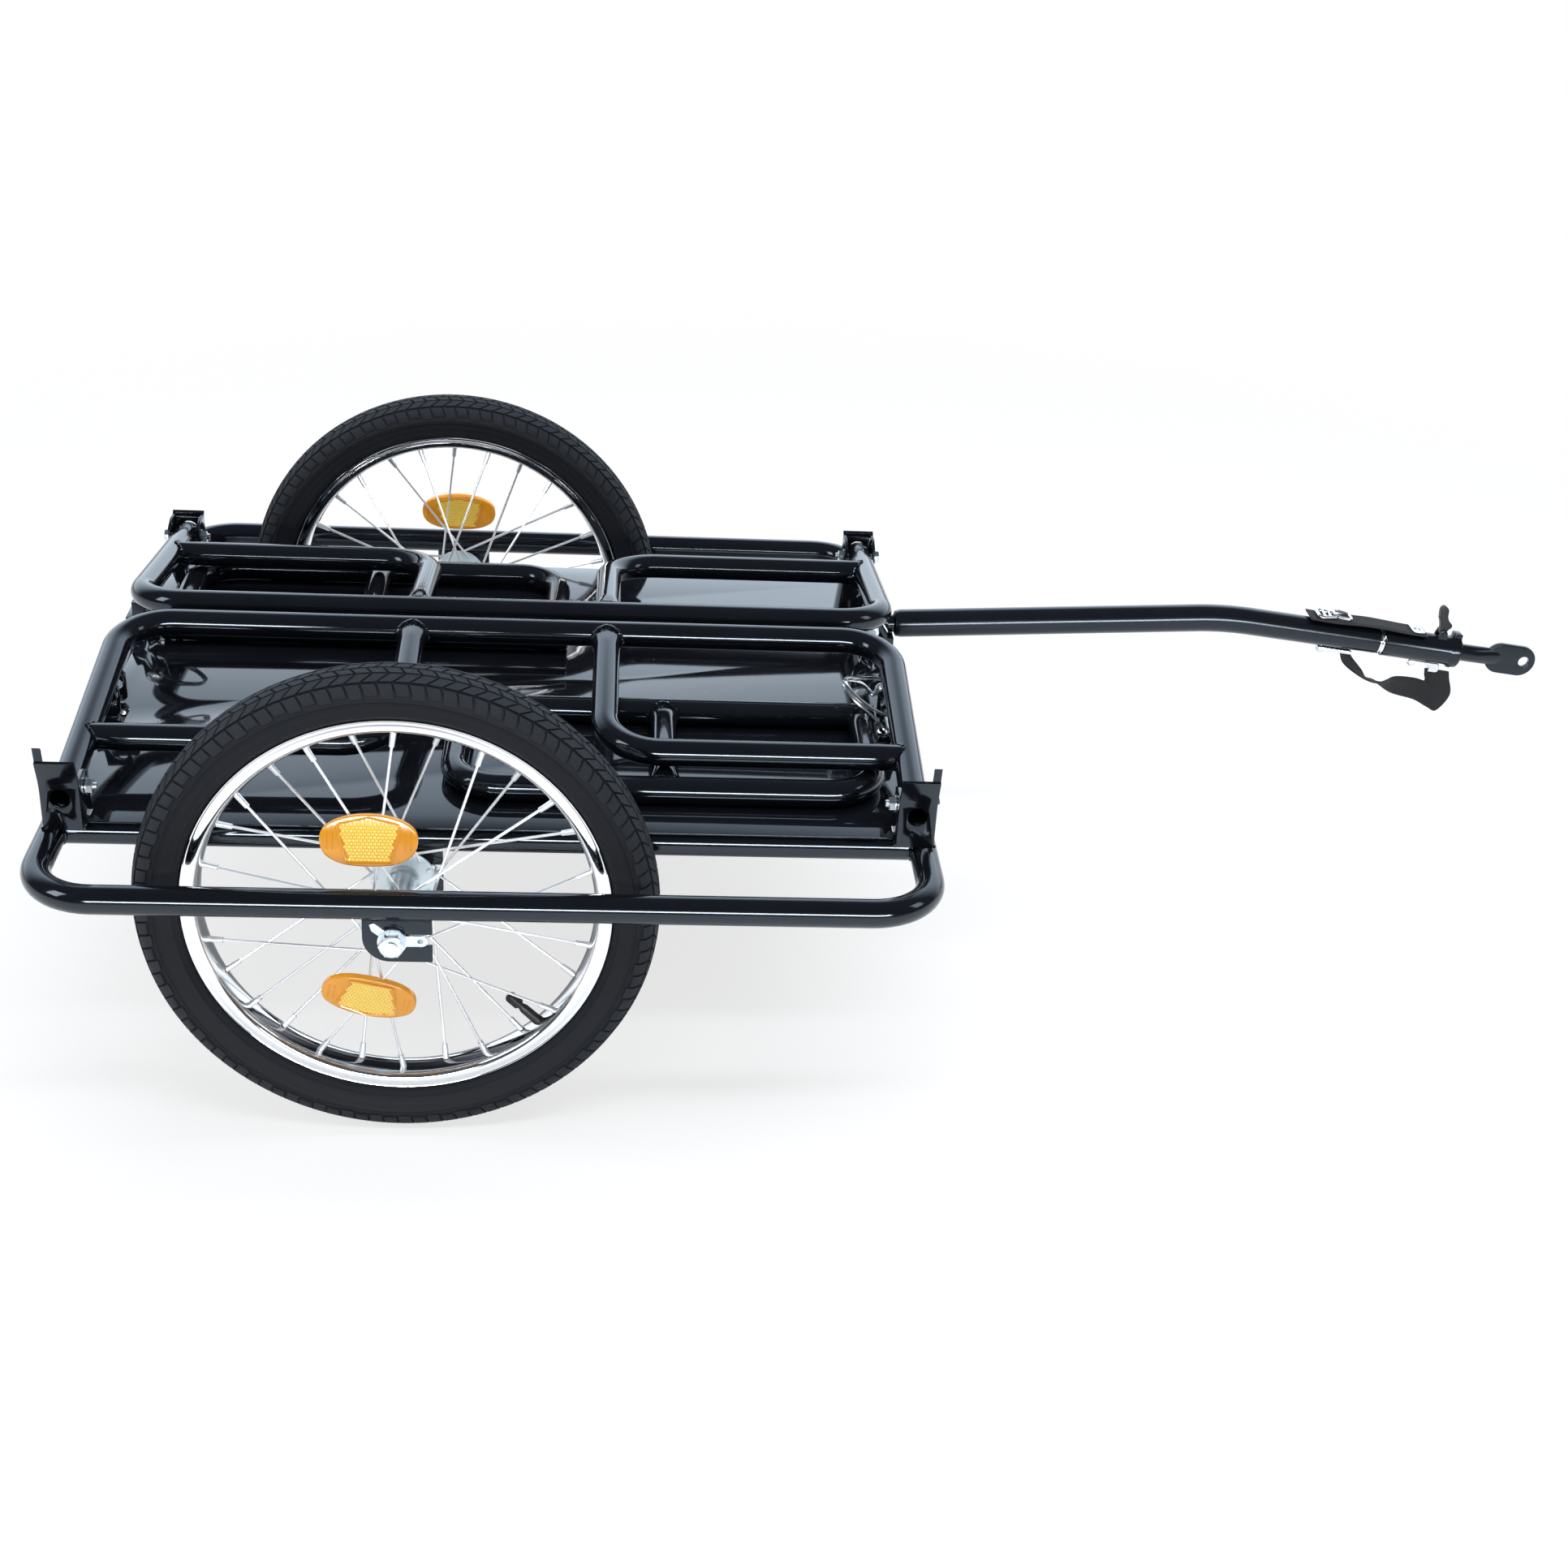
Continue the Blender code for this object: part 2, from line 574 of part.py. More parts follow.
def make_wheel(side, name, body, finishes):
    """One wheel, from the tyre in to the bearings. side is 1 for the left wheel."""
    hub = Vector((0, side * AXLE_Y, 0))
    across = Vector((0, side, 0))

    seat_half = RIM_HALF_WIDTH - RIM_WALL
    crown = TYRE_R - RIM_FLANGE_R
    outside = [
        (seat_half - GAP, BEAD_SEAT_R + GAP),
        (seat_half - GAP, RIM_FLANGE_R + GAP),
        (RIM_HALF_WIDTH + 0.0035, RIM_FLANGE_R + 0.004),
        (TYRE_HALF_WIDTH, TYRE_R - crown * 0.507),
        (TYRE_HALF_WIDTH * 0.78, TYRE_R - crown * 0.178),
        (TYRE_HALF_WIDTH * 0.38, TYRE_R - crown * 0.033),
        (0.0, TYRE_R),
    ]
    mirrored = [(-along, radius) for along, radius in reversed(outside[:-1])]
    lining = [
        (seat_half - TYRE_WALL, BEAD_SEAT_R + GAP),
        (seat_half - TYRE_WALL, RIM_FLANGE_R - 0.001),
        (TYRE_HALF_WIDTH - TYRE_WALL, TYRE_R - crown * 0.507),
        (TYRE_HALF_WIDTH * 0.5, TYRE_R - 0.0025 - TYRE_WALL),
        (0.0, TYRE_R - 0.0005 - TYRE_WALL),
    ]
    hollow = [(-along, radius) for along, radius in lining] + list(reversed(lining[:-1]))
    tyre = turned(outside + mirrored + hollow, hub, across, WHEEL_STEPS)
    add(f"{name}_tyre", tyre, finishes["rubber"], body)

    rim_outline = [
        (-RIM_HALF_WIDTH, RIM_FLANGE_R),
        (-RIM_HALF_WIDTH, BEAD_SEAT_R - RIM_WALL),
        (-seat_half * 0.45, RIM_WELL_R),
        (seat_half * 0.45, RIM_WELL_R),
        (RIM_HALF_WIDTH, BEAD_SEAT_R - RIM_WALL),
        (RIM_HALF_WIDTH, RIM_FLANGE_R),
        (seat_half, RIM_FLANGE_R),
        (seat_half, BEAD_SEAT_R),
        (seat_half * 0.45, RIM_WELL_R + RIM_WALL),
        (-seat_half * 0.45, RIM_WELL_R + RIM_WALL),
        (-seat_half, BEAD_SEAT_R),
        (-seat_half, RIM_FLANGE_R),
    ]
    rim = add(f"{name}_rim", turned(rim_outline, hub, across, WHEEL_STEPS), finishes["chrome"], body)

    tube_centre_r = (RIM_FLANGE_R + TYRE_R - TYRE_WALL) / 2 - 0.0012
    tube_r = (TYRE_R - TYRE_WALL - RIM_FLANGE_R) / 2 - 0.0018
    circle = [
        hub + Vector((math.cos(a), 0, math.sin(a))) * tube_centre_r
        for a in (2 * math.pi * step / INNER_TUBE_STEPS for step in range(INNER_TUBE_STEPS))
    ]
    skin = tube(circle, tube_r, tube_r - TUBE_WALL, sides=INNER_TUBE_SIDES, closed=True)
    inner_tube = add(f"{name}_inner_tube", skin, finishes["rubber"], body)
    out = Vector((math.cos(VALVE_ANGLE), 0, math.sin(VALVE_ANGLE)))
    flat_r = tube_r * math.cos(math.pi / INNER_TUBE_SIDES)
    valve_foot_r = tube_centre_r - flat_r + TUBE_WALL * 0.5
    stem = [
        (VALVE_REACH_R, 0.0025),
        (VALVE_REACH_R + 0.001, VALVE_R - 0.001),
        (VALVE_REACH_R + 0.009, VALVE_R - 0.001),
        (VALVE_REACH_R + 0.011, VALVE_R),
        (valve_foot_r, VALVE_R),
    ]
    carve(inner_tube, spun(stem, hub, out, 8), "UNION")
    bore = rod(hub + out * (VALVE_REACH_R - 0.01), hub + out * tube_centre_r, VALVE_BORE_R, 6)
    carve(inner_tube, bore)
    hole = rod(hub + out * (RIM_WELL_R - 0.02), hub + out * (RIM_WELL_R + 0.02), VALVE_R + 2 * GAP, 8)
    carve(rim, hole)

    counterbore = HUB_HALF_LENGTH - CUP_DEPTH
    cup_r = CONE_RACE_R + 2 * GAP + 2 * BALL_R
    half = [
        (0.0, HUB_BARREL_R),
        (HUB_FLANGE_HALF_SPACING - 0.008, HUB_BARREL_R),
        (HUB_FLANGE_HALF_SPACING - 0.004, HUB_END_R),
        (HUB_HALF_LENGTH, HUB_END_R),
        (HUB_HALF_LENGTH, cup_r),
        (counterbore, cup_r),
        (counterbore, HUB_BORE_R),
    ]
    far_half = [(-along, radius) for along, radius in reversed(half[1:])]
    add(f"{name}_hub_shell", turned(far_half + half, hub, across), finishes["zinc"], body)

    cage_face = counterbore + GAP
    cage_back = cage_face + CAGE_THICK
    cage = [
        (-cage_back, CONE_RACE_R + GAP),
        (-cage_back, CAGE_R),
        (-cage_face, CAGE_R),
        (-cage_face, HUB_BORE_R - GAP),
        (cage_face, HUB_BORE_R - GAP),
        (cage_face, CAGE_R),
        (cage_back, CAGE_R),
        (cage_back, CONE_RACE_R + GAP),
    ]
    bearings = add(f"{name}_bearings", turned(cage, hub, across, 12), finishes["steel"], body)
    balls = []
    for end in (-1, 1):
        for index in range(BALL_COUNT):
            angle = 2 * math.pi * index / BALL_COUNT
            edit = bmesh.new()
            bmesh.ops.create_uvsphere(edit, u_segments=6, v_segments=3, radius=BALL_R)
            place = hub + across * end * (cage_face + BALL_R)
            spoke = Vector((math.cos(angle), 0, math.sin(angle)))
            bmesh.ops.translate(edit, verts=edit.verts, vec=place + spoke * (CONE_RACE_R + GAP + BALL_R))
            ball = bpy.data.meshes.new("ball")
            edit.to_mesh(ball)
            edit.free()
            balls.append(ball)
    carve(bearings, joined(balls), "UNION")

    grooves = {1: [], -1: []}
    flange_bore = round_over(HUB_END_R, SPOKE_COUNT // 2)
    for flange, place in ((1, "outer"), (-1, "inner")):
        ring = [
            (HUB_FLANGE_HALF_SPACING - HUB_FLANGE_THICK / 2, flange_bore),
            (HUB_FLANGE_HALF_SPACING - HUB_FLANGE_THICK / 2, HUB_FLANGE_R),
            (HUB_FLANGE_HALF_SPACING + HUB_FLANGE_THICK / 2, HUB_FLANGE_R),
            (HUB_FLANGE_HALF_SPACING + HUB_FLANGE_THICK / 2, flange_bore),
        ]
        disc = turned(ring, hub, across * flange, SPOKE_COUNT // 2)
        node = add(f"{name}_{place}_spokes", disc, finishes["steel"], body)
        spokes = []
        for index in range(SPOKE_COUNT):
            if (index % 2 == 1) != (flange == 1):
                continue
            start, end, outward = spoke_ends(side, index)
            run = (end - start).normalized()
            tip = end - run * NIPPLE_R * NIPPLE_TILT
            neck = tip - run * NIPPLE_LENGTH
            spokes.append(tube([start, neck, tip], [SPOKE_R, SPOKE_R, NIPPLE_R], sides=5))
            if flange == 1:
                grooves[outward].append(rod(start, end, SPOKE_R + GAP, 6))
        carve(node, joined(spokes), "UNION")

    for place, (angle, tilt) in REFLECTOR_PLACES[name].items():
        bend = REFLECTOR_HEIGHT / 2 * 0.7
        outline = []
        for x_sign, z_sign, start in ((1, 1, 0), (-1, 1, 90), (-1, -1, 180), (1, -1, 270)):
            corner = (
                x_sign * (REFLECTOR_LENGTH / 2 - bend),
                z_sign * (REFLECTOR_HEIGHT / 2 - bend),
            )
            outline += arc(corner, bend, start, start + 90, 3)
        radial = Vector((math.cos(angle), 0, math.sin(angle)))
        level = Matrix.Rotation(tilt, 3, "Y") @ Vector((1, 0, 0))
        upright = Matrix.Rotation(tilt, 3, "Y") @ Vector((0, 0, 1))
        if radial.z < 0:
            upright = -upright
        upright = upright * math.cos(REFLECTOR_LEAN) - across * math.sin(REFLECTOR_LEAN)
        centre = hub + radial * REFLECTOR_R + across * REFLECTOR_STAND
        plate = slab(outline, centre, level, upright, REFLECTOR_THICK)
        reflector = add(f"{name}_{place}_reflector", plate, finishes["amber"], body)
        for spokes in grooves.values():
            carve(reflector, joined(spokes))


def make_axle(side, name, body, finishes):
    """The parts of a wheel that stay with the frame: the axle with its cones, and the two nuts."""
    hub = Vector((0, side * AXLE_Y, 0))
    across = Vector((0, side, 0))
    plate_face = OUTER_RAIL_Y - AXLE_Y - DROPOUT_THICK / 2 - GAP
    cone_face = HUB_HALF_LENGTH + 0.0005
    half = [
        (HUB_HALF_LENGTH - CUP_DEPTH, CONE_RACE_R),
        (HUB_HALF_LENGTH - 0.001, CONE_RACE_R),
        (cone_face, CONE_SHOULDER_R),
        (cone_face + 0.0035, CONE_SHOULDER_R),
        (cone_face + 0.0035, AXLE_NUT_R),
        (plate_face, AXLE_NUT_R),
        (plate_face, AXLE_R),
        (AXLE_LENGTH / 2, AXLE_R),
    ]
    start = [(HUB_HALF_LENGTH - CUP_DEPTH, AXLE_R)]
    half = start + half
    far_half = [(-along, radius) for along, radius in reversed(half)]
    axle = spun(far_half + half, hub, across, 10)
    add(f"{name}_axle", axle, finishes["zinc"], body)

    washer_face = OUTER_RAIL_Y - AXLE_Y + DROPOUT_THICK / 2 + GAP
    nut_face = washer_face + AXLE_WASHER_THICK
    nut_bore = round_over(AXLE_R, 8)
    nut = [
        (washer_face, nut_bore),
        (washer_face, AXLE_WASHER_R),
        (nut_face, AXLE_WASHER_R),
        (nut_face, AXLE_NUT_R),
        (nut_face + AXLE_NUT_LENGTH, AXLE_NUT_R),
        (nut_face + AXLE_NUT_LENGTH, nut_bore),
    ]
    for end, place in ((1, "outer"), (-1, "inner")):
        mesh = turned(nut, hub, across * end, 8)
        add(f"{name}_{place}_axle_nut", mesh, finishes["zinc"], body)


def dropout_mesh(rail_y):
    """A slotted plate under a rail, open to the front. Its top is in the rail's wall."""
    low = -DROPOUT_DROP
    top = FRAME_Z - (TUBE_R + TUBE_BORE_R) / 2
    slot = AXLE_R + DROPOUT_GAP
    corner = DROPOUT_CORNER_R
    outline = [(DROPOUT_FRONT, top), (-DROPOUT_BACK, top)]
    outline += arc((-DROPOUT_BACK + corner, low + corner), corner, 180, 270, 4)
    outline += [(DROPOUT_FRONT, low), (DROPOUT_FRONT, -slot)]
    outline += arc((0, 0), slot, 270, 90, 8)
    outline += [(DROPOUT_FRONT, slot)]
    return slab(outline, (0, rail_y, 0), (1, 0, 0), (0, 0, 1), DROPOUT_THICK)


def make_frame(body, finishes):
    """The outer loop that goes round both wheels, the two deck rails inside it and the deck."""
    corners = [
        (FRAME_REAR_X, -OUTER_RAIL_Y, FRAME_Z),
        (FRAME_FRONT_X, -OUTER_RAIL_Y, FRAME_Z),
        (FRAME_FRONT_X, OUTER_RAIL_Y, FRAME_Z),
        (FRAME_REAR_X, OUTER_RAIL_Y, FRAME_Z),
    ]
    path = rounded(corners, FRAME_BEND_R, closed=True)
    ring = tube(path, TUBE_R, TUBE_BORE_R, closed=True)
    loop = add("chassis_loop", ring, finishes["black"], body)
    for side in (1, -1):
        carve(loop, dropout_mesh(side * OUTER_RAIL_Y), "UNION")
    vent = Vector((FRAME_REAR_X, 0, FRAME_Z))
    carve(loop, rod(vent, vent - Vector((0, 0, 2 * TUBE_R)), VENT_R, 8))

    for side, name in ((1, "left"), (-1, "right")):
        ends = [
            Vector((FRAME_REAR_X, side * DECK_RAIL_Y, FRAME_Z)),
            Vector((FRAME_FRONT_X, side * DECK_RAIL_Y, FRAME_Z)),
        ]
        rail = add(f"{name}_deck_rail", tube(ends, TUBE_R, TUBE_BORE_R), finishes["black"], body)
        for end in ends:
            reach = Vector((0, 2 * TUBE_R, 0))
            carve(rail, rod(end - reach, end + reach, TUBE_R + GAP, CUTTER_SIDES))
        carve(rail, dropout_mesh(side * DECK_RAIL_Y), "UNION")

    quarter = []
    clear = 2 * GAP
    channel = END_CHANNEL / 2 + END_WALL + clear
    corner_half = CORNER_CHANNEL / 2 + CORNER_WALL + clear
    ends = (
        (FRAME_REAR_X + DECK_END_LAP, FRAME_REAR_X + END_IN_REACH + clear, PANEL_REAR_X + corner_half),
        (FRAME_FRONT_X - DECK_END_LAP, FRAME_FRONT_X - END_IN_REACH - clear, PANEL_FRONT_X - corner_half),
    )
    corner_y = DECK_RAIL_Y - CORNER_INNER_REACH - clear
    for end_x, notch_x, corner_x in ends:
        for sign in (1, -1):
            run = [
                (corner_x, sign * DECK_HALF_WIDTH),
                (corner_x, sign * corner_y),
                (end_x, sign * corner_y),
                (end_x, sign * (END_BRACKET_Y + channel)),
                (notch_x, sign * (END_BRACKET_Y + channel)),
                (notch_x, sign * (END_BRACKET_Y - channel)),
                (end_x, sign * (END_BRACKET_Y - channel)),
            ]
            quarter.append(run)
    outline = quarter[0] + quarter[1][::-1] + quarter[3] + quarter[2][::-1]
    deck_z = DECK_BOTTOM_Z + DECK_THICK / 2
    deck = slab(outline, (0, 0, deck_z), (1, 0, 0), (0, 1, 0), DECK_THICK)
    add("deck_sheet", deck, finishes["black"], body)


def make_corner_bracket(name, x, side, outer_end, body, finish):
    """A channel on the frame's corner that a side panel's leg turns in. outer_end is the way out along X."""
    base = DECK_BOTTOM_Z
    web_in = CORNER_OUTER_REACH
    web_out = CORNER_OUTER_REACH + CORNER_WALL
    lip_top, flare = CORNER_LIP_TOP, CORNER_LIP_FLARE
    if side > 0:
        lip_top, flare = CORNER_LEFT_LIP_TOP, CORNER_LEFT_LIP_FLARE
    lip_z = HINGE_Z + lip_top
    turn_z = HINGE_Z + 0.011
    profile = [
        (-CORNER_INNER_REACH, base),
        (web_out, base),
        (web_out, turn_z),
        (web_out + flare, lip_z - 0.001),
        (web_out + flare - 0.0022, lip_z),
        (web_in - 0.001, turn_z + 0.004),
        (0.004, HINGE_Z + CORNER_CHEEK_TOP),
        (-CORNER_INNER_REACH, HINGE_Z + CORNER_CHEEK_TOP - 0.006),
    ]
    out = (0, side, 0)
    place = (x, side * DECK_RAIL_Y, 0)
    width = CORNER_CHANNEL + 2 * CORNER_WALL
    block = slab(profile, place, out, (0, 0, 1), width)
    bracket = add(name, block, finish, body)
    channel = [
        (-0.03, base - 0.01),
        (web_in, base - 0.01),
        (web_in, turn_z + 0.001),
        (web_in + flare * 0.55, lip_z - 0.006),
        (web_in - 0.002, lip_z + 0.01),
        (-0.03, lip_z + 0.01),
    ]
    carve(bracket, slab(channel, place, out, (0, 0, 1), CORNER_CHANNEL))
    horn = [
        (web_in + 0.0005, turn_z - 0.004),
        (web_out, turn_z - 0.004),
        (web_out + CORNER_LIP_FLARE, HINGE_Z + CORNER_HORN_TOP),
        (web_out + CORNER_LIP_FLARE - 0.002, HINGE_Z + CORNER_HORN_TOP - 0.002),
    ]
    if side < 0:
        horn_x = x + outer_end * (width - CORNER_HORN_WIDTH) / 2
        horn_place = (horn_x, side * DECK_RAIL_Y, 0)
        carve(bracket, slab(horn, horn_place, out, (0, 0, 1), CORNER_HORN_WIDTH), "UNION")
    window_y = side * (DECK_RAIL_Y + web_in)
    reach = Vector((0, 0.006, 0))
    window = Vector((x, window_y, HINGE_Z))
    carve(bracket, rod(window - reach, window + reach, CORNER_WINDOW_R, 12))
    pin = Vector((x, side * DECK_RAIL_Y, HINGE_Z))
    reach = Vector((width, 0, 0))
    carve(bracket, rod(pin - reach, pin + reach, HINGE_BOLT_R + GAP * 2, 8))
    inner = Vector((x - outer_end * width, side * (DECK_RAIL_Y - 0.004), HINGE_Z + 0.0085))
    middle = Vector((x, inner.y, inner.z))
    carve(bracket, rod(inner, middle, CORNER_SMALL_HOLE_R, 6))


def make_hinge_bolts(side, name, body, finish):
    """A hexagon bolt along X through each leg and its bracket, with its nut on the deck side."""
    half = CORNER_CHANNEL / 2 + CORNER_WALL + GAP
    profile = [
        (-half - HINGE_NUT_LENGTH - 0.003, HINGE_BOLT_R),
        (-half - HINGE_NUT_LENGTH, HINGE_BOLT_R),
        (-half - HINGE_NUT_LENGTH, HINGE_NUT_R),
        (-half, HINGE_NUT_R),
        (-half, HINGE_BOLT_R),
        (half, HINGE_BOLT_R),
        (half, HINGE_NUT_R),
        (half + HINGE_HEAD_THICK, HINGE_NUT_R),
    ]
    for x, place, outer_end in ((PANEL_REAR_X, "rear", -1), (PANEL_FRONT_X, "front", 1)):
        centre = Vector((x, side * DECK_RAIL_Y, HINGE_Z))
        bolt = spun(profile, centre, (outer_end, 0, 0), 6)
        add(f"{name}_{place}_hinge_bolt", bolt, finish, body)


def make_panel(side, name, body, finish):
    """A side panel: a bent tube with two legs and a top rail, and a bent brace welded in at each end."""
    up = Vector((0, -side * math.cos(PANEL_TILT), math.sin(PANEL_TILT)))
    hinge = Vector((0, side * DECK_RAIL_Y, HINGE_Z))

    def spot(x, height):
        return hinge + Vector((x, 0, 0)) + up * height

    corners = [
        spot(PANEL_REAR_X, -PANEL_FOOT),
        spot(PANEL_REAR_X, PANEL_HEIGHT),
        spot(PANEL_FRONT_X, PANEL_HEIGHT),
        spot(PANEL_FRONT_X, -PANEL_FOOT),
    ]
    bent = tube(rounded(corners, PANEL_BEND_R), TUBE_R, TUBE_BORE_R)
    frame = add(f"{name}_side_panel", bent, finish, body)
    for x in (PANEL_REAR_X, PANEL_FRONT_X):
        reach = Vector((2 * TUBE_R, 0, 0))
        hole = rod(spot(x, 0) - reach, spot(x, 0) + reach, HINGE_BOLT_R + RUNNING_GAP * 2, 8)
        carve(frame, hole)

    plans = (
        (PANEL_REAR_X, REAR_BRACE_HEIGHT, REAR_BRACE_X),
        (PANEL_FRONT_X, FRONT_BRACE_HEIGHT, FRONT_BRACE_X),
    )
    weld_r = (TUBE_R + TUBE_BORE_R) / 2
    for leg_x, height, rail_x in plans:
        corners = [spot(leg_x, height), spot(rail_x, height), spot(rail_x, PANEL_HEIGHT)]
        brace = welded(rounded(corners, BRACE_BEND_R))
        cutters = [
            rod(spot(leg_x, height - 0.03), spot(leg_x, height + 0.03), weld_r, CUTTER_SIDES),
            rod(spot(rail_x - 0.03, PANEL_HEIGHT), spot(rail_x + 0.03, PANEL_HEIGHT), weld_r, CUTTER_SIDES),
        ]
        carve(frame, carved(brace, cutters, body), "UNION")


def make_gate(side, name, body, finish):
    """A loose end gate: a bent loop closed by a straight bar, with one cross tube. Both are alike,
    and the left one lies turned half round about the middle of the deck."""

    def spot(along, depth):
        x = RIGHT_GATE_REAR_X + along
        y = GATE_BAR_Y + depth
        if side > 0:
            return Vector((2 * DECK_CENTRE_X - x, y, GATE_Z))
        return Vector((x, -y, GATE_Z))

    weld_r = (TUBE_R + TUBE_BORE_R) / 2
    bar = tube([spot(-TUBE_R, 0), spot(GATE_LENGTH + TUBE_R, 0)], TUBE_R, TUBE_BORE_R)
    gate = add(f"{name}_gate", bar, finish, body)
    corners = [spot(0, 0), spot(0, GATE_DEPTH), spot(GATE_LENGTH, GATE_DEPTH), spot(GATE_LENGTH, 0)]
    loop = welded(rounded(corners, GATE_BEND_R))
    cutter = rod(spot(-0.03, 0), spot(GATE_LENGTH + 0.03, 0), weld_r, CUTTER_SIDES)
    carve(gate, carved(loop, [cutter], body), "UNION")
    middle = GATE_LENGTH / 2
    strut = welded([spot(middle, 0), spot(middle, GATE_DEPTH)])
    cutters = [
        rod(spot(middle - 0.03, depth), spot(middle + 0.03, depth), weld_r, CUTTER_SIDES)
        for depth in (0, GATE_DEPTH)
    ]
    carve(gate, carved(strut, cutters, body), "UNION")


def end_place(end):
    """The cross tube's X, and the way that leads from it towards the deck."""
    return (FRAME_FRONT_X, -1) if end == "front" else (FRAME_REAR_X, 1)


def end_bracket_outline():
    """The outline of an end bracket: distance in from the cross tube's axis, and height."""
    slit_low = END_SLIT_Z - END_SLIT_HEIGHT / 2
    slit_high = END_SLIT_Z + END_SLIT_HEIGHT / 2
    slit_in = END_IN_REACH - END_SLIT_DEPTH
    return [
        (-END_OUT_REACH, END_BOTTOM_Z),
        (-END_OUT_REACH, END_STEP_Z),
        (-END_OUT_REACH + END_STEP, END_STEP_Z),
        (-END_OUT_REACH + END_STEP, END_TOP_Z),
        (END_IN_REACH - END_CORNER, END_TOP_Z),
        (END_IN_REACH, END_TOP_Z - END_CORNER),
        (END_IN_REACH, slit_high + END_CORNER),
        (END_IN_REACH - END_CORNER, slit_high),
        (slit_in, slit_high),
        (slit_in, slit_low),
        (END_IN_REACH - END_CORNER, slit_low),
        (END_IN_REACH, slit_low - END_CORNER),
        (END_IN_REACH, END_BOTTOM_Z),
    ]


def drawbar_line(reach):
    """A point on the drawbar's front stretch, at a distance from its bend."""
    x = DRAWBAR_BEND_X + reach * math.cos(DRAWBAR_DROP)
    z = DRAWBAR_BEND_Z - reach * math.sin(DRAWBAR_DROP)
    return Vector((x, END_BRACKET_Y, z))


def drawbar_start():
    return Vector((FRAME_FRONT_X + END_OUT_REACH + GAP, END_BRACKET_Y, DRAWBAR_START_Z))


def drawbar_rise():
    start = drawbar_start()
    return (DRAWBAR_BEND_Z - start.z) / (DRAWBAR_BEND_X - start.x)


def drawbar_pin_place():
    x = FRAME_FRONT_X - LOCK_PIN_INSET
    start = drawbar_start()
    return Vector((x, END_BRACKET_Y, start.z + (x - start.x) * drawbar_rise()))


def make_end_bracket(end, side, name, body, finish):
    """A channel welded astride a cross tube. The front left one is open for the drawbar's spigot."""
    tube_x, inward = end_place(end)
    width = END_CHANNEL + 2 * END_WALL
    in_low = -END_OUT_REACH + END_WALL
    in_high = -END_OUT_REACH + END_STEP + END_WALL
    hollow = [
        (in_low, END_BOTTOM_Z - 0.01),
        (in_low, END_STEP_Z - END_WALL),
        (in_high, END_STEP_Z - END_WALL),
        (in_high, END_TOP_Z + 0.01),
        (END_IN_REACH + 0.01, END_TOP_Z + 0.01),
        (END_IN_REACH + 0.01, END_BOTTOM_Z - 0.01),
    ]
    place = Vector((tube_x, side * END_BRACKET_Y, 0))
    block = slab(end_bracket_outline(), place, (inward, 0, 0), (0, 0, 1), width)
    bracket = add(name, block, finish, body)
    carve(bracket, slab(hollow, place, (inward, 0, 0), (0, 0, 1), END_CHANNEL))
    pin = place + Vector((inward * LOCK_PIN_INSET, 0, LOCK_PIN_Z))
    if end == "front" and side > 0:
        pin = drawbar_pin_place()
        axis = drawbar_start()
        away = Vector((-0.02, 0, -0.02 * drawbar_rise()))
        carve(bracket, rod(axis - away, axis + away, SPIGOT_R + 2 * GAP, 14))
        slot_half = SPIGOT_R + 2 * GAP
        notch = [
            (-slot_half, axis.z),
            (slot_half, axis.z),
            (slot_half, END_TOP_Z + 0.01),
            (-slot_half, END_TOP_Z + 0.01),
        ]
        carve(bracket, slab(notch, (axis.x - 0.004, axis.y, 0), (0, 1, 0), (0, 0, 1), 0.018))
    reach = Vector((0, width, 0))
    carve(bracket, rod(pin - reach, pin + reach, LOCK_PIN_R + GAP * 2, 8))
    low = place + Vector((inward * (LOCK_PIN_INSET + 0.002), 0, END_LOW_HOLE_Z))
    carve(bracket, rod(low - reach, low + reach, END_LOW_HOLE_R, 8))
    seat = [place + Vector((0, -width, FRAME_Z)), place + Vector((0, width, FRAME_Z))]
    carve(bracket, rod(*seat, TUBE_R + GAP, CUTTER_SIDES))


def lock_pin_frame(end):
    """Where a lock pin's head is, the way from its head to its tip, and the way in over the deck."""
    tube_x, inward = end_place(end)
    side = -1 if end == "front" else 1
    head = Vector((tube_x + inward * LOCK_PIN_INSET, 0, LOCK_PIN_Z))
    head.y = side * (END_BRACKET_Y - LOCK_PIN_LENGTH / 2)
    return head, Vector((0, side, 0)), Vector((inward, 0, 0))


def bail_pivot_place(end):
    head, along, inward = lock_pin_frame(end)
    return head - along * LOCK_PIN_HEAD_THICK / 2 + inward * BAIL_PIVOT_OFFSET


def make_lock_pin(end, body, finish):
    head, along, inward = lock_pin_frame(end)
    tip = head + along * LOCK_PIN_LENGTH
    stations = [
        head - along * LOCK_PIN_HEAD_THICK,
        head,
        head + along * 0.0002,
        tip - along * 0.002,
        tip,
    ]
    radii = [LOCK_PIN_HEAD_R, LOCK_PIN_HEAD_R, LOCK_PIN_R, LOCK_PIN_R, LOCK_PIN_R * 0.6]
    pin = add(f"{end}_lock_pin", tube(stations, radii, sides=10), finish, body)
    hinge = bail_pivot_place(end)
    lift = Vector((-inward.x * math.sin(BAIL_TILT), 0, math.cos(BAIL_TILT))) * 0.015
    carve(pin, rod(hinge - lift, hinge + lift, BAIL_WIRE_R + RUNNING_GAP, 8))


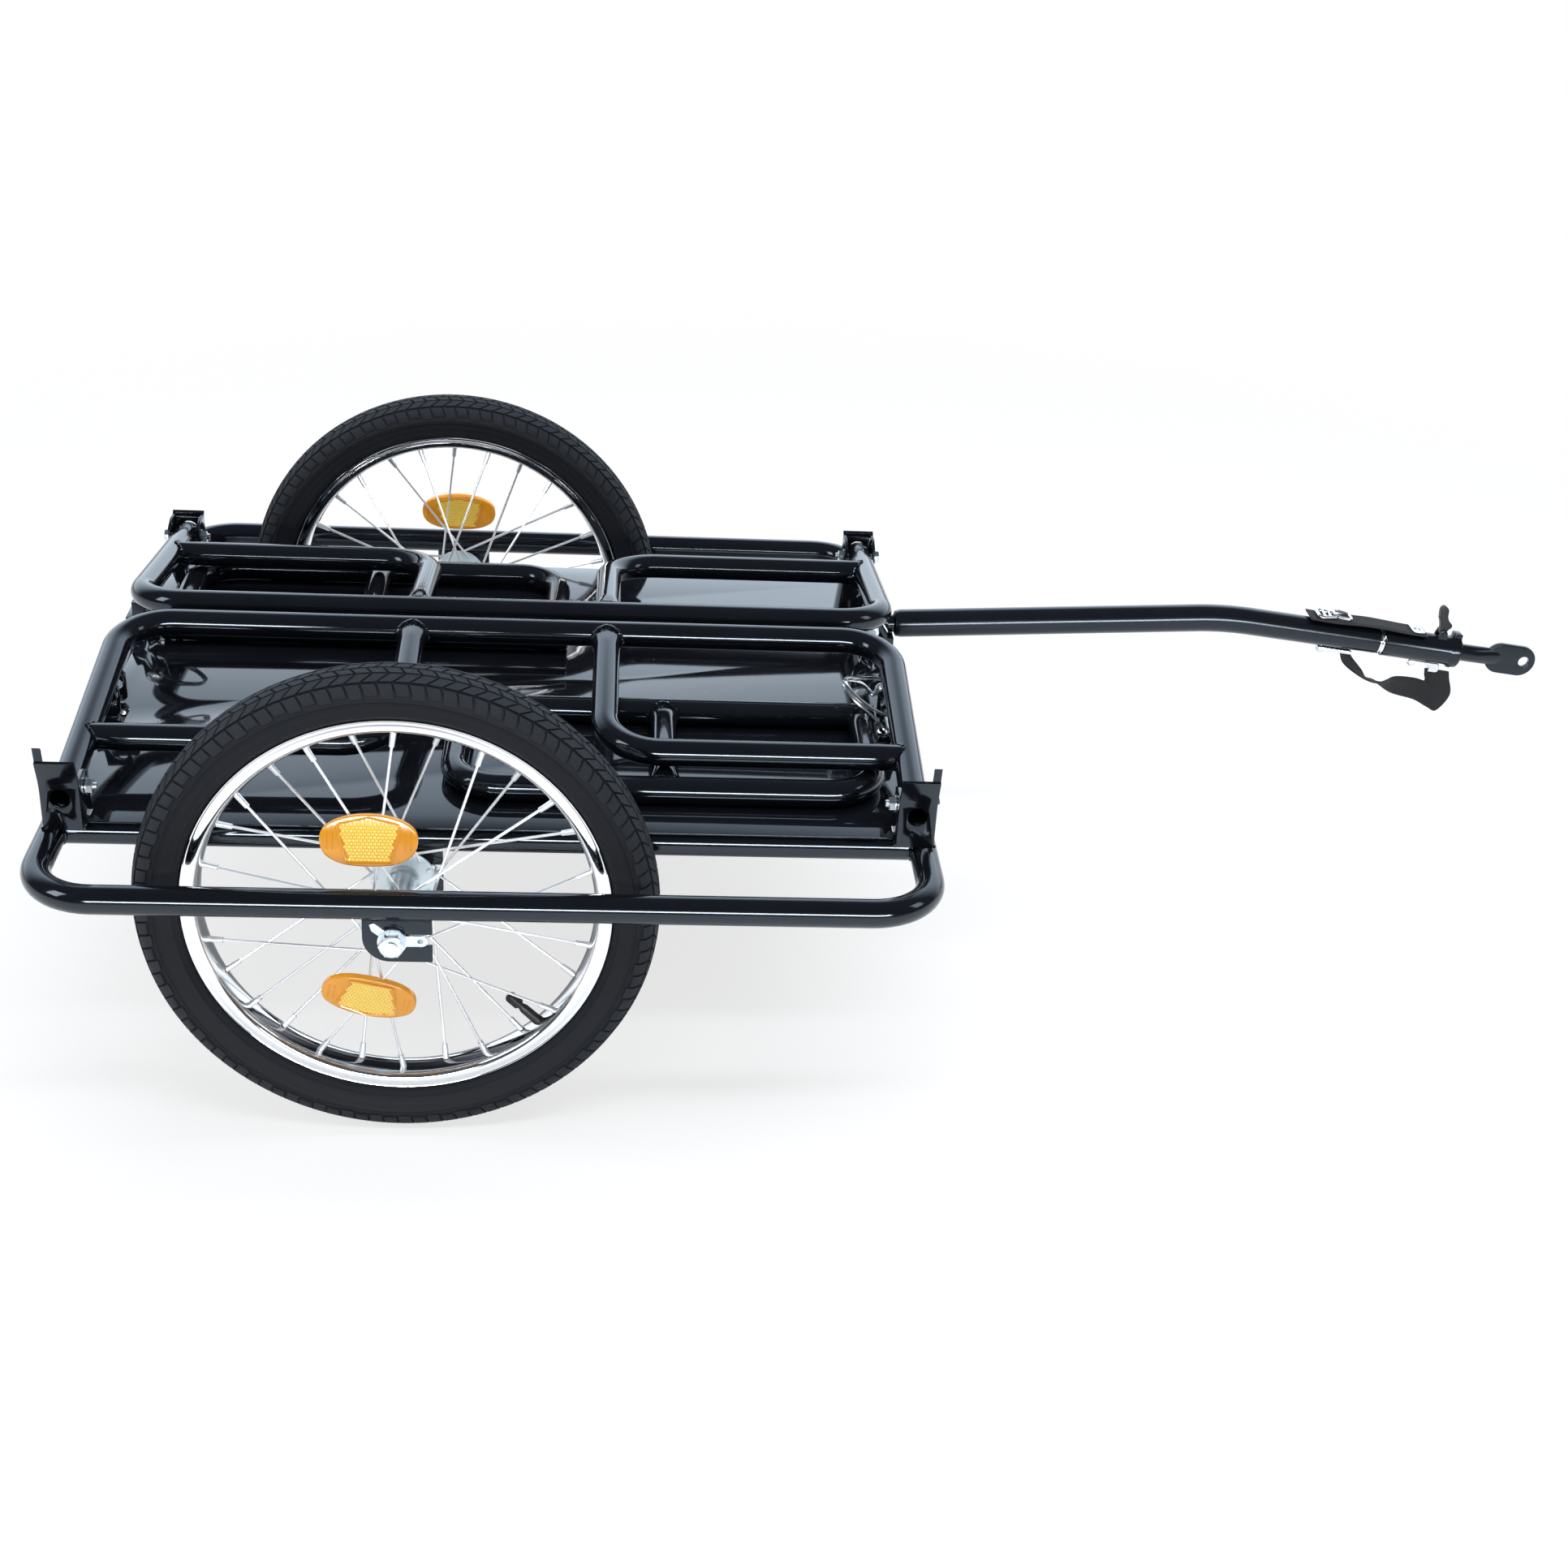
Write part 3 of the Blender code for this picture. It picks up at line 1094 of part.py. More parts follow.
def make_bail(end, body, finish):
    """A closed loop of spring wire: through the pin's head, in an arch, and over the pin's tip."""
    head, along, inward = lock_pin_frame(end)
    hinge = bail_pivot_place(end)
    out = inward * math.cos(BAIL_TILT) + Vector((0, 0, math.sin(BAIL_TILT)))
    lift = Vector((-inward.x * math.sin(BAIL_TILT), 0, math.cos(BAIL_TILT)))
    pin_out = -BAIL_PIVOT_OFFSET * math.cos(BAIL_TILT)
    pin_lift = BAIL_PIVOT_OFFSET * math.sin(BAIL_TILT)
    over_pin = LOCK_PIN_R + BAIL_WIRE_R + 2 * RUNNING_GAP
    over_head = LOCK_PIN_HEAD_R + BAIL_WIRE_R
    span = LOCK_PIN_LENGTH + LOCK_PIN_HEAD_THICK / 2 + BAIL_WIRE_R + 0.0015
    arch = [
        (0.0, 0.0, pin_lift, over_head),
        (BAIL_ARCH * 0.14, -0.001, pin_lift, over_head),
        (BAIL_ARCH * 0.55, 0.004, pin_lift * 0.6, over_pin * 0.8),
        (BAIL_ARCH * 0.92, span * 0.23, 0.0, BAIL_HALF_GAP),
        (BAIL_ARCH, span * 0.42, 0.0, BAIL_HALF_GAP),
        (BAIL_ARCH * 0.72, span * 0.62, 0.0, BAIL_HALF_GAP),
        (BAIL_ARCH * 0.30, span * 0.75, pin_lift * 0.5, over_pin * 0.8),
        (0.0, span * 0.84, pin_lift, over_pin),
        (pin_out, span * 0.90, pin_lift, over_pin),
        (pin_out, span, pin_lift, over_pin * 0.9),
    ]
    above = [hinge + out * a + along * b + lift * (c + half) for a, b, c, half in arch]
    below = [hinge + out * a + along * b + lift * (c - half) for a, b, c, half in reversed(arch)]
    add(f"{end}_pin_bail", tube(above + below, BAIL_WIRE_R, sides=5, closed=True), finish, body)


def make_drawbar(body, finishes):
    """The bent tube from the front left bracket, its end ring, and the sleeve that holds the swivel."""
    start = drawbar_start()
    rise = drawbar_rise()
    spigot_end = start - Vector((SPIGOT_LENGTH, 0, SPIGOT_LENGTH * rise))
    bend = Vector((DRAWBAR_BEND_X, END_BRACKET_Y, DRAWBAR_BEND_Z))
    end = drawbar_line(TUBE_END_REACH)
    ahead = Vector((1, 0, rise)).normalized()
    path = [spigot_end, start - ahead * 0.0002, start]
    path += rounded([start, bend, end], DRAWBAR_BEND_R, 3)[1:]
    outers = [SPIGOT_R, SPIGOT_R] + [DRAWBAR_R] * (len(path) - 2)
    inners = [SPIGOT_BORE_R, SPIGOT_BORE_R, SPIGOT_BORE_R] + [DRAWBAR_BORE_R] * (len(path) - 3)
    path.insert(3, start + ahead * 0.004)
    outers.insert(3, DRAWBAR_R)
    inners.insert(3, DRAWBAR_BORE_R)
    bar = add("drawbar_tube", tube(path, outers, inners, sides=12), finishes["black"], body)
    pin = drawbar_pin_place()
    reach = Vector((0, 0.03, 0))
    carve(bar, rod(pin - reach, pin + reach, DRAWBAR_BOLT_R + GAP * 2, 8))
    down = Vector((-math.sin(DRAWBAR_DROP), 0, -math.cos(DRAWBAR_DROP)))
    anchor = drawbar_line(TUBE_END_REACH + REAR_CLIP[0])
    hole = rod(anchor + down * (DRAWBAR_R - 2 * REAR_BOLT_DEPTH), anchor + down * 0.03, SMALL_BOLT_R + GAP, 8)
    carve(bar, hole)

    axis = Vector((math.cos(DRAWBAR_DROP), 0, -math.sin(DRAWBAR_DROP)))
    ring_start = TUBE_END_REACH + GAP
    ring = [
        (ring_start, DRAWBAR_BORE_R),
        (ring_start, SWIVEL_RING_R),
        (ring_start + SWIVEL_RING_LENGTH, SWIVEL_RING_R),
        (ring_start + SWIVEL_RING_LENGTH, DRAWBAR_BORE_R),
    ]
    hub = drawbar_line(0)
    add("swivel_ring", turned(ring, hub, axis), finishes["chrome"], body)

    sleeve_start = ring_start + SWIVEL_RING_LENGTH + GAP
    sleeve_end = sleeve_start + SLEEVE_LENGTH
    collar_start = sleeve_end - SLEEVE_COLLAR_LENGTH
    bore = round_over(ROD_R)
    spigot_r = DRAWBAR_BORE_R * math.cos(math.pi / TURNED_STEPS) - GAP
    outline = [
        (sleeve_start - SLEEVE_SPIGOT_LENGTH, bore),
        (sleeve_start - SLEEVE_SPIGOT_LENGTH, spigot_r),
        (sleeve_start, spigot_r),
        (sleeve_start, SLEEVE_R),
        (collar_start, SLEEVE_R),
        (collar_start, SLEEVE_COLLAR_R),
        (sleeve_end, SLEEVE_COLLAR_R),
        (sleeve_end, bore),
    ]
    sleeve = add("swivel_sleeve", turned(outline, hub, axis), finishes["black"], body)
    screw = drawbar_line(TUBE_END_REACH + FRONT_CLIP[0])
    carve(sleeve, rod(screw + down * ROD_R / 2, screw + down * 0.03, SMALL_BOLT_R + GAP, 6))
    up = -down
    lever_foot = drawbar_line(sleeve_start + LEVER_STATION)
    for sign in (1, -1):
        middle = lever_foot + Vector((0, sign * (LEVER_THICK + EAR_THICK + 2 * RUNNING_GAP) / 2, 0))
        ear = [
            (-0.005, bore + 0.002),
            (0.005, bore + 0.002),
            (0.004, SLEEVE_R + EAR_HEIGHT),
            (-0.004, SLEEVE_R + EAR_HEIGHT),
        ]
        carve(sleeve, slab(ear, middle, axis, up, EAR_THICK), "UNION")
    pivot_point = lever_foot + up * (SLEEVE_R + EAR_HEIGHT * 0.6)
    reach = Vector((0, LEVER_THICK + EAR_THICK, 0))
    hole = rod(pivot_point - reach, pivot_point + reach, LEVER_PIN_R + RUNNING_GAP, 8)
    carve(sleeve, hole)

    half = END_CHANNEL / 2 + END_WALL + GAP
    profile = [
        (-half - DRAWBAR_NUT_LENGTH, DRAWBAR_BOLT_R + 0.003),
        (-half, DRAWBAR_BOLT_R + 0.003),
        (-half, DRAWBAR_BOLT_R),
        (half, DRAWBAR_BOLT_R),
        (half, DRAWBAR_BOLT_R + 0.003),
        (half + DRAWBAR_NUT_LENGTH, DRAWBAR_BOLT_R + 0.003),
    ]
    add("drawbar_pin", spun(profile, pin, (0, 1, 0), 8), finishes["zinc"], body)


def lever_pivot_place():
    sleeve_start = SLEEVE_START
    up = Vector((math.sin(DRAWBAR_DROP), 0, math.cos(DRAWBAR_DROP)))
    return drawbar_line(sleeve_start + LEVER_STATION) + up * (SLEEVE_R + EAR_HEIGHT * 0.6)


def make_lever(body, finish):
    """The thumb lever that tightens the sleeve, with its own pivot pin."""
    place = lever_pivot_place()
    along = Vector((math.cos(DRAWBAR_DROP), 0, -math.sin(DRAWBAR_DROP)))
    up = Vector((math.sin(DRAWBAR_DROP), 0, math.cos(DRAWBAR_DROP)))
    profile = [
        (-0.0025, -0.0025),
        (0.0025, -0.0025),
        (0.0035, 0.003),
        (0.0060, 0.0065),
        (0.0050, 0.0095),
        (0.0020, 0.012),
        (0.0012, LEVER_HEIGHT - 0.004),
        (-0.0008, LEVER_HEIGHT - 0.0012),
        (-0.0035, LEVER_HEIGHT - 0.0012),
        (-0.0055, LEVER_HEIGHT - 0.004),
        (-0.0058, 0.014),
        (-0.0035, 0.005),
    ]
    lever = add("clamp_lever", slab(profile, place, along, up, LEVER_THICK), finish, body)
    reach = Vector((0, LEVER_THICK / 2 + EAR_THICK + RUNNING_GAP, 0))
    carve(lever, rod(place - reach, place + reach, LEVER_PIN_R, 8), "UNION")


def make_tongue(body, finish):
    """The rod that turns in the sleeve, welded to the tongue plate that bolts to the bicycle's hitch."""
    sleeve_start = SLEEVE_START
    sleeve_end = sleeve_start + SLEEVE_LENGTH
    plate_start = sleeve_end + ROD_REACH
    axis = Vector((math.cos(DRAWBAR_DROP), 0, -math.sin(DRAWBAR_DROP)))
    up = Vector((math.sin(DRAWBAR_DROP), 0, math.cos(DRAWBAR_DROP)))
    stations = [
        drawbar_line(sleeve_start - SLEEVE_SPIGOT_LENGTH - 0.004),
        drawbar_line(sleeve_end + 0.019),
        drawbar_line(plate_start + 0.006),
    ]
    rod_mesh = tube(stations, [ROD_R, ROD_R, ROD_R * 0.72], sides=12)
    tongue = add("coupling_tongue", rod_mesh, finish, body)
    half = TONGUE_HEIGHT / 2
    outline = arc((TONGUE_LENGTH - half, 0), half, 90, -90, 8)
    outline += arc((half * 0.9, 0), half, -90, -270, 8)
    outline = [(max(along, 0.0), height) for along, height in outline]
    trimmed = []
    for point in outline:
        if not trimmed or (Vector(point) - Vector(trimmed[-1])).length > 0.0005:
            trimmed.append(point)
    plate = slab(trimmed, drawbar_line(plate_start), axis, up, TONGUE_THICK)
    carve(tongue, plate, "UNION")
    hole = drawbar_line(plate_start + TONGUE_LENGTH - TONGUE_HOLE_INSET)
    reach = Vector((0, 0.01, 0))
    carve(tongue, rod(hole - reach, hole + reach, TONGUE_HOLE_R, 12))


def ribbon(pairs, thickness):
    """A flat strap through pairs of edge points."""
    points = []
    count = len(pairs)
    for index, (first, second) in enumerate(pairs):
        first = Vector(first)
        second = Vector(second)
        before = pairs[max(index - 1, 0)]
        after = pairs[min(index + 1, count - 1)]
        middle_before = (Vector(before[0]) + Vector(before[1])) / 2
        middle_after = (Vector(after[0]) + Vector(after[1])) / 2
        normal = (middle_after - middle_before).cross(second - first).normalized()
        offset = normal * thickness / 2
        points += [first + offset, second + offset, second - offset, first - offset]
    faces = [[0, 1, 2, 3], [4 * count - 4 + corner for corner in range(4)]]
    for index in range(count - 1):
        for corner in range(4):
            after = (corner + 1) % 4
            faces.append(
                [4 * index + corner, 4 * index + after, 4 * index + 4 + after, 4 * index + 4 + corner]
            )
    return mesh_from(points, faces)


def make_straps(body, finishes):
    """The upper strap that lies on the drawbar, the lower safety strap that hangs below it, and
    the steel buckle and clips that hold their ends."""
    up = Vector((math.sin(DRAWBAR_DROP), 0, math.cos(DRAWBAR_DROP)))
    axis = Vector((math.cos(DRAWBAR_DROP), 0, -math.sin(DRAWBAR_DROP)))
    half = Vector((0, STRAP_WIDTH / 2, 0))
    lie = SLEEVE_R + GAP + STRAP_THICK / 2
    upper = []
    for reach, height in UPPER_STRAP_RUN:
        middle = drawbar_line(TUBE_END_REACH + reach) + up * (lie + height)
        upper.append((middle - half, middle + half))
    add("upper_strap", ribbon(upper, STRAP_THICK), finishes["webbing"], body)

    def hang(reach, left, depth):
        return drawbar_line(TUBE_END_REACH + reach) + Vector((0, left, 0)) - up * depth

    lower = [(hang(*first), hang(*second)) for first, second in LOWER_STRAP_RUN]
    add("lower_strap", ribbon(lower, STRAP_THICK), finishes["webbing"], body)

    lift = lie + STRAP_THICK / 2 + GAP + BUCKLE_WIRE_R
    ring = [
        drawbar_line(TUBE_END_REACH + BUCKLE_BACK) - half * 0.75 + up * lift,
        drawbar_line(TUBE_END_REACH + BUCKLE_BACK) + half * 0.75 + up * lift,
        drawbar_line(TUBE_END_REACH + BUCKLE_FRONT) + half * 0.35 + up * lift,
        drawbar_line(TUBE_END_REACH + BUCKLE_FRONT) - half * 0.35 + up * lift,
    ]
    path = rounded(ring, 0.003, 2, closed=True)
    buckle = tube(path, BUCKLE_WIRE_R, sides=6, closed=True)
    add("strap_buckle", buckle, finishes["steel"], body)
    plate = [(-0.006, -0.009), (0.006, -0.009), (0.006, 0.009), (-0.006, 0.009)]
    seat = drawbar_line(TUBE_END_REACH + UPPER_CLIP_REACH) + up * (lie + STRAP_THICK / 2 + GAP + 0.0006)
    clip = slab(plate, seat, axis, (0, 1, 0), 0.0012)
    add("upper_strap_clip", clip, finishes["steel"], body)
    clips = (
        ("lower_strap_rear_clip", DRAWBAR_R, REAR_CLIP, DRAWBAR_R - REAR_BOLT_DEPTH),
        ("lower_strap_front_clip", SLEEVE_R, FRONT_CLIP, ROD_R + 2 * GAP),
    )
    for name, face, (bolt_reach, back, front, height, thick), depth in clips:
        centre = drawbar_line(TUBE_END_REACH + (back + front) / 2) - up * (face + GAP + height / 2)
        long_half = (front - back) / 2
        outline = [
            (-long_half, -height / 2),
            (long_half, -height / 2),
            (long_half, height / 2),
            (-long_half, height / 2),
        ]
        clip = add(name, slab(outline, centre, axis, up, thick), finishes["steel"], body)
        bolt = [
            (depth, SMALL_BOLT_R),
            (face + GAP + height - 0.0005, SMALL_BOLT_R),
            (face + GAP + height - 0.0005, SMALL_BOLT_HEAD_R),
            (face + GAP + height + SMALL_BOLT_HEAD, SMALL_BOLT_HEAD_R),
        ]
        bolt_place = drawbar_line(TUBE_END_REACH + bolt_reach)
        carve(clip, spun(bolt, bolt_place, -up, 6), "UNION")


def build():
    clear_scene()
    finishes = {
        "black": material("black_powder_coat", (0.012, 0.012, 0.014), 0.16, 0.0),
        "zinc": material("bright_zinc", (0.78, 0.80, 0.83), 0.28, 1.0),
        "steel": material("bright_steel", (0.80, 0.80, 0.80), 0.25, 1.0),
        "chrome": material("chrome", (0.88, 0.89, 0.90), 0.06, 1.0),
        "rubber": material("black_rubber", (0.035, 0.036, 0.038), 0.78, 0.0),
        "amber": material("amber_plastic", (0.95, 0.42, 0.02), 0.22, 0.0),
        "webbing": material("black_webbing", (0.02, 0.02, 0.022), 0.85, 0.0),
        "plastic": material("black_plastic", (0.03, 0.03, 0.032), 0.5, 0.0),
    }
    trailer = pivot("trailer", (0, 0, 0))
    trailer.location = (TRAILER_X, 0, TYRE_R)
    make_frame(trailer, finishes)
    for side, name in ((1, "left"), (-1, "right")):
        make_axle(side, name, trailer, finishes)
        wheel = pivot(f"{name}_wheel_spin", (0, side * AXLE_Y, 0), trailer)
        make_wheel(side, name, wheel, finishes)
        for x, end, outer_end in ((PANEL_REAR_X, "rear", -1), (PANEL_FRONT_X, "front", 1)):
            bracket = f"{name}_{end}_corner_bracket"
            make_corner_bracket(bracket, x, side, outer_end, trailer, finishes["black"])
        make_hinge_bolts(side, name, trailer, finishes["zinc"])
        panel = pivot(f"{name}_panel_fold", (0, side * DECK_RAIL_Y, HINGE_Z), trailer)
        make_panel(side, name, panel, finishes["black"])
        gate = pivot(f"{name}_gate_slide", (DECK_CENTRE_X, side * GATE_BAR_Y, GATE_Z), trailer)
        make_gate(side, name, gate, finishes["black"])
    for end in ("front", "rear"):
        for side, name in ((1, "left"), (-1, "right")):
            bracket = f"{end}_{name}_end_bracket"
            make_end_bracket(end, side, bracket, trailer, finishes["black"])
        head = lock_pin_frame(end)[0]
        pin = pivot(f"{end}_lock_pin_slide", tuple(head), trailer)
        make_lock_pin(end, pin, finishes["zinc"])
        bail = pivot(f"{end}_pin_bail_swing", tuple(bail_pivot_place(end)), pin)
        make_bail(end, bail, finishes["zinc"])
    make_drawbar(trailer, finishes)
    lever = pivot("clamp_lever_turn", tuple(lever_pivot_place()), trailer)
    make_lever(lever, finishes["plastic"])
    tongue = pivot("tongue_swivel", tuple(drawbar_line(TUBE_END_REACH)), trailer)
    make_tongue(tongue, finishes["black"])
    make_straps(trailer, finishes)


build()
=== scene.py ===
"""A folding bicycle trailer, dressed piece by piece in the order in which it is put together.

Everything is drawn in metres. Most places are given from the middle of the wheel axis, which
the function at() moves to where the frame has it: +X to the bicycle, +Y to the left, +Z up.
"""

import math

import bmesh
import bpy
from mathutils import Matrix, Vector


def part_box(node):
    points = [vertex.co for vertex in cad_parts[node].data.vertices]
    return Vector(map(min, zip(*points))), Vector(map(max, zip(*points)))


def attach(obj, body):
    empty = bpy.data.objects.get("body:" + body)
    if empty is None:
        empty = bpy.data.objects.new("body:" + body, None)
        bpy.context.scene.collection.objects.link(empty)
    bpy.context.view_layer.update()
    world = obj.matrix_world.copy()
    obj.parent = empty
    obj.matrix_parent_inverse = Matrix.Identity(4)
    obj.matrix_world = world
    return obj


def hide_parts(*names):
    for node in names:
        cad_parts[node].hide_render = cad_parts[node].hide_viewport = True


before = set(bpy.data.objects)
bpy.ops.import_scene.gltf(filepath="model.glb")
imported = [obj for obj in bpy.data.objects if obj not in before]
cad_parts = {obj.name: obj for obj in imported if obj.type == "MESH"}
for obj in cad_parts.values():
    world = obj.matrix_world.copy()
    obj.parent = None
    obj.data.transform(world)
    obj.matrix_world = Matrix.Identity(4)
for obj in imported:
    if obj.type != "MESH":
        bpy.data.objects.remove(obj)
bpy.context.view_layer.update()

# The studio. The camera stands where the photographer stood, a little above the near wheel. A white
# sky and a pale floor give the background. Soft lamps light the trailer, and mirrors see a bright
# wall behind it, a dark ceiling and one low lamp in front.
axle_low, axle_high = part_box("left_axle")
AXLE = Vector(((axle_low[0] + axle_high[0]) / 2, 0, (axle_low[2] + axle_high[2]) / 2))


def at(x, y, z):
    return Vector((x, y, z)) + AXLE


def linked(name, data):
    made = bpy.data.objects.new(name, data)
    bpy.context.scene.collection.objects.link(made)
    return made


def node_in(tree, kind, values=None, **settings):
    """A new node with its settings. A socket gets a value, or a link from a socket or a node."""
    node = tree.nodes.new(kind)
    for label, value in settings.items():
        setattr(node, label, value)
    for label, value in (values or {}).items():
        if isinstance(value, bpy.types.Node):
            value = value.outputs[0]
        if isinstance(value, bpy.types.NodeSocket):
            tree.links.new(value, node.inputs[label])
        else:
            node.inputs[label].default_value = value
    return node


def math_in(tree, operation, *numbers):
    numbers = dict(enumerate(numbers))
    return node_in(tree, "ShaderNodeMath", numbers, operation=operation).outputs[0]


def fade(tree, value, start, end, low=0.0, high=1.0, curve="SMOOTHSTEP"):
    """A value that runs from low to high while another one runs from start to end."""
    sizes = {"Value": value, "From Min": start, "From Max": end, "To Min": low, "To Max": high}
    return node_in(tree, "ShaderNodeMapRange", sizes, interpolation_type=curve).outputs[0]


def seen_straight(tree, rays):
    """One for what the camera sees itself or through clear plastic."""
    straight = (rays.outputs["Is Camera Ray"], rays.outputs["Is Transmission Ray"])
    return math_in(tree, "MAXIMUM", *straight)


lens = bpy.data.cameras.new("camera")
lens.sensor_width = 36.0
lens.lens = 51.04
camera = linked("camera", lens)
camera.matrix_world = Matrix.Translation(at(0.159, -1.750, 0.885))
YAW, PITCH, ROLL = 4.98, 28.07, 3.64
for degrees, axis in ((-YAW, "Z"), (90 - PITCH, "X"), (ROLL, "Z")):
    camera.matrix_world = camera.matrix_world @ Matrix.Rotation(math.radians(degrees), 4, axis)
bpy.context.scene.camera = camera
bpy.context.scene.view_settings.view_transform = "Standard"

LAMPS = (  # name, place, target, size, power, and whether it lights or is only mirrored
    ("overhead_lamp", (0.0, 0.4, 2.3), (0.0, 0.0, 0.1), (3.2, 0.9), 46.0, "lights"),
    ("near_strip_lamp", (0.2, -1.15, 2.1), (0.1, 0.0, 0.1), (1.8, 0.16), 20.0, "lights"),
    ("low_front_lamp", (0.1, -3.4, 0.92), (0.1, 0.0, 0.2), (3.4, 0.40), 150.0, "mirrored"),
    ("left_side_lamp", (-2.4, -1.2, 1.5), (-0.2, 0.0, 0.1), (0.7, 1.2), 18.0, "both"),
    ("right_side_lamp", (2.5, -0.8, 1.6), (0.2, 0.0, 0.1), (0.7, 1.2), 8.0, "both"),
)
for name, place, target, size, power, task in LAMPS:
    lamp_data = bpy.data.lights.new(name, "AREA")
    lamp_data.shape = "RECTANGLE"
    lamp_data.size, lamp_data.size_y = size
    lamp_data.energy = power
    lamp = linked(name, lamp_data)
    lamp.visible_glossy = task != "lights"
    lamp.visible_diffuse = task != "mirrored"
    way = (Vector(target) - Vector(place)).normalized()
    turn = way.to_track_quat("-Z", "Y").to_matrix().to_4x4()
    lamp.matrix_world = Matrix.Translation(place) @ turn

sky = bpy.data.worlds.new("white_sky")
bpy.context.scene.world = sky
sky.use_nodes = True
tree = sky.node_tree
tree.nodes.clear()
rays = tree.nodes.new("ShaderNodeLightPath")
facing = node_in(tree, "ShaderNodeTexCoord").outputs["Generated"]
split = node_in(tree, "ShaderNodeSeparateXYZ", {0: facing})
behind = fade(tree, split.outputs["Y"], 0.20, 0.75)
low_down = fade(tree, split.outputs["Z"], 0.85, 0.55)
wall = math_in(tree, "MULTIPLY", behind, low_down)
MIRRORED_DARK, MIRRORED_WALL = 0.12, 2.2
brightness = fade(tree, wall, 0.0, 1.0, MIRRORED_DARK, MIRRORED_WALL, "LINEAR")
mirrored, soft, seen = (
    node_in(tree, "ShaderNodeBackground", {"Color": (*color, 1.0), "Strength": strength})
    for color, strength in (
        ((0.78, 0.89, 1.0), brightness), ((0.95, 0.97, 1.0), 0.55), ((1.0, 1.0, 1.0), 1.0),
    )
)
unseen = {0: rays.outputs["Is Glossy Ray"], 1: soft, 2: mirrored}
unseen = node_in(tree, "ShaderNodeMixShader", unseen)
whole = node_in(tree, "ShaderNodeMixShader", {0: seen_straight(tree, rays), 1: unseen, 2: seen})
node_in(tree, "ShaderNodeOutputWorld", {"Surface": whole})

floor_mesh = bpy.data.meshes.new("floor")
floor_mesh.from_pydata([(-9, -9, 0), (9, -9, 0), (9, 9, 0), (-9, 9, 0)], [], [(0, 1, 2, 3)])
floor = linked("floor", floor_mesh)
floor_paint = bpy.data.materials.new("pale_floor")
floor_paint.use_nodes = True
tree = floor_paint.node_tree
shader = tree.nodes["Principled BSDF"]
shader.inputs["Base Color"].default_value = (0.86, 0.88, 0.90, 1.0)
shader.inputs["Roughness"].default_value = 0.85
rays = tree.nodes.new("ShaderNodeLightPath")
place = node_in(tree, "ShaderNodeTexCoord").outputs["Object"]
reach = node_in(tree, "ShaderNodeVectorMath", {0: place}, operation="LENGTH").outputs["Value"]
whiter = fade(tree, reach, 0.8, 2.2, 0.72)  # the shadow stays, and the far floor is white
share = math_in(tree, "MULTIPLY", seen_straight(tree, rays), whiter)
glow = node_in(tree, "ShaderNodeEmission")
mix = node_in(tree, "ShaderNodeMixShader", {0: share, 1: shader, 2: glow})
tree.links.new(mix.outputs[0], tree.nodes["Material Output"].inputs["Surface"])
floor_mesh.materials.append(floor_paint)

# The chassis loop. One round steel tube is bent round both wheels, and its ends are butted and
# welded shut. Plates with a slot for each axle are welded under its long sides. It has a glossy
# black powder coat, which flows out to a faint orange peel.
X, Y, Z = Vector((1, 0, 0)), Vector((0, 1, 0)), Vector((0, 0, 1))
TUBE_R = 0.011
TUBE_SIDES = 24
BEND_STEPS = 12
FRAME_Z = 0.0295
FRAME_REAR_X = -0.264
FRAME_FRONT_X = 0.401
OUTER_RAIL_Y = 0.352
FRAME_BEND_R = 0.048
DROPOUT_THICK = 0.004
SLOT_R = 0.0052
SEAM_Y = 0.16
GRAIN = {
    "Grain per Metre": 900.0, "Grain Depth": 0.00002, "Roughness": 0.15, "Roughness Spread": 0.05,
    "Patch per Metre": 18.0,
}


def named_tree(kind, name, entries, results):
    """An empty node tree with its ends. An entry is a value to start from, or a kind of socket."""
    tree = bpy.data.node_groups.new(name, kind)
    kinds = {float: "Float", int: "Int", tuple: "Vector"}
    for label, value in entries.items():
        socket = "NodeSocket" + (value if isinstance(value, str) else kinds[type(value)])
        socket = tree.interface.new_socket(label, in_out="INPUT", socket_type=socket)
        if not isinstance(value, str):
            socket.default_value = value
    for label, value in results.items():
        tree.interface.new_socket(label, in_out="OUTPUT", socket_type="NodeSocket" + value)
    return tree, tree.nodes.new("NodeGroupInput").outputs, tree.nodes.new("NodeGroupOutput").inputs


def surface_group():
    """Fine unevenness of a coated or plated surface: a normal, a roughness and a tone mask."""
    results = {"Normal": "Vector", "Roughness": "Float", "Patches": "Float"}
    tree, size, leave = named_tree("ShaderNodeTree", "surface_grain", GRAIN, results)
    place = node_in(tree, "ShaderNodeTexCoord").outputs["Object"]
    fine = {"Vector": place, "Detail": 2.0, "Scale": size["Grain per Metre"]}
    fine = node_in(tree, "ShaderNodeTexNoise", fine).outputs["Fac"]
    bump = {"Strength": 0.6, "Distance": size["Grain Depth"], "Height": fine}
    bump = node_in(tree, "ShaderNodeBump", bump).outputs["Normal"]
    broad = {"Vector": place, "Detail": 4.0, "Scale": size["Patch per Metre"]}
    broad = node_in(tree, "ShaderNodeTexNoise", broad).outputs["Fac"]
    spread = math_in(tree, "MULTIPLY_ADD", broad, size["Roughness Spread"], size["Roughness"])
    for label, result in (("Normal", bump), ("Roughness", spread), ("Patches", broad)):
        tree.links.new(result, leave[label])
    return tree


SURFACE = surface_group()


def spaced(values):
    return {label.replace("_", " "): value for label, value in values.items()}


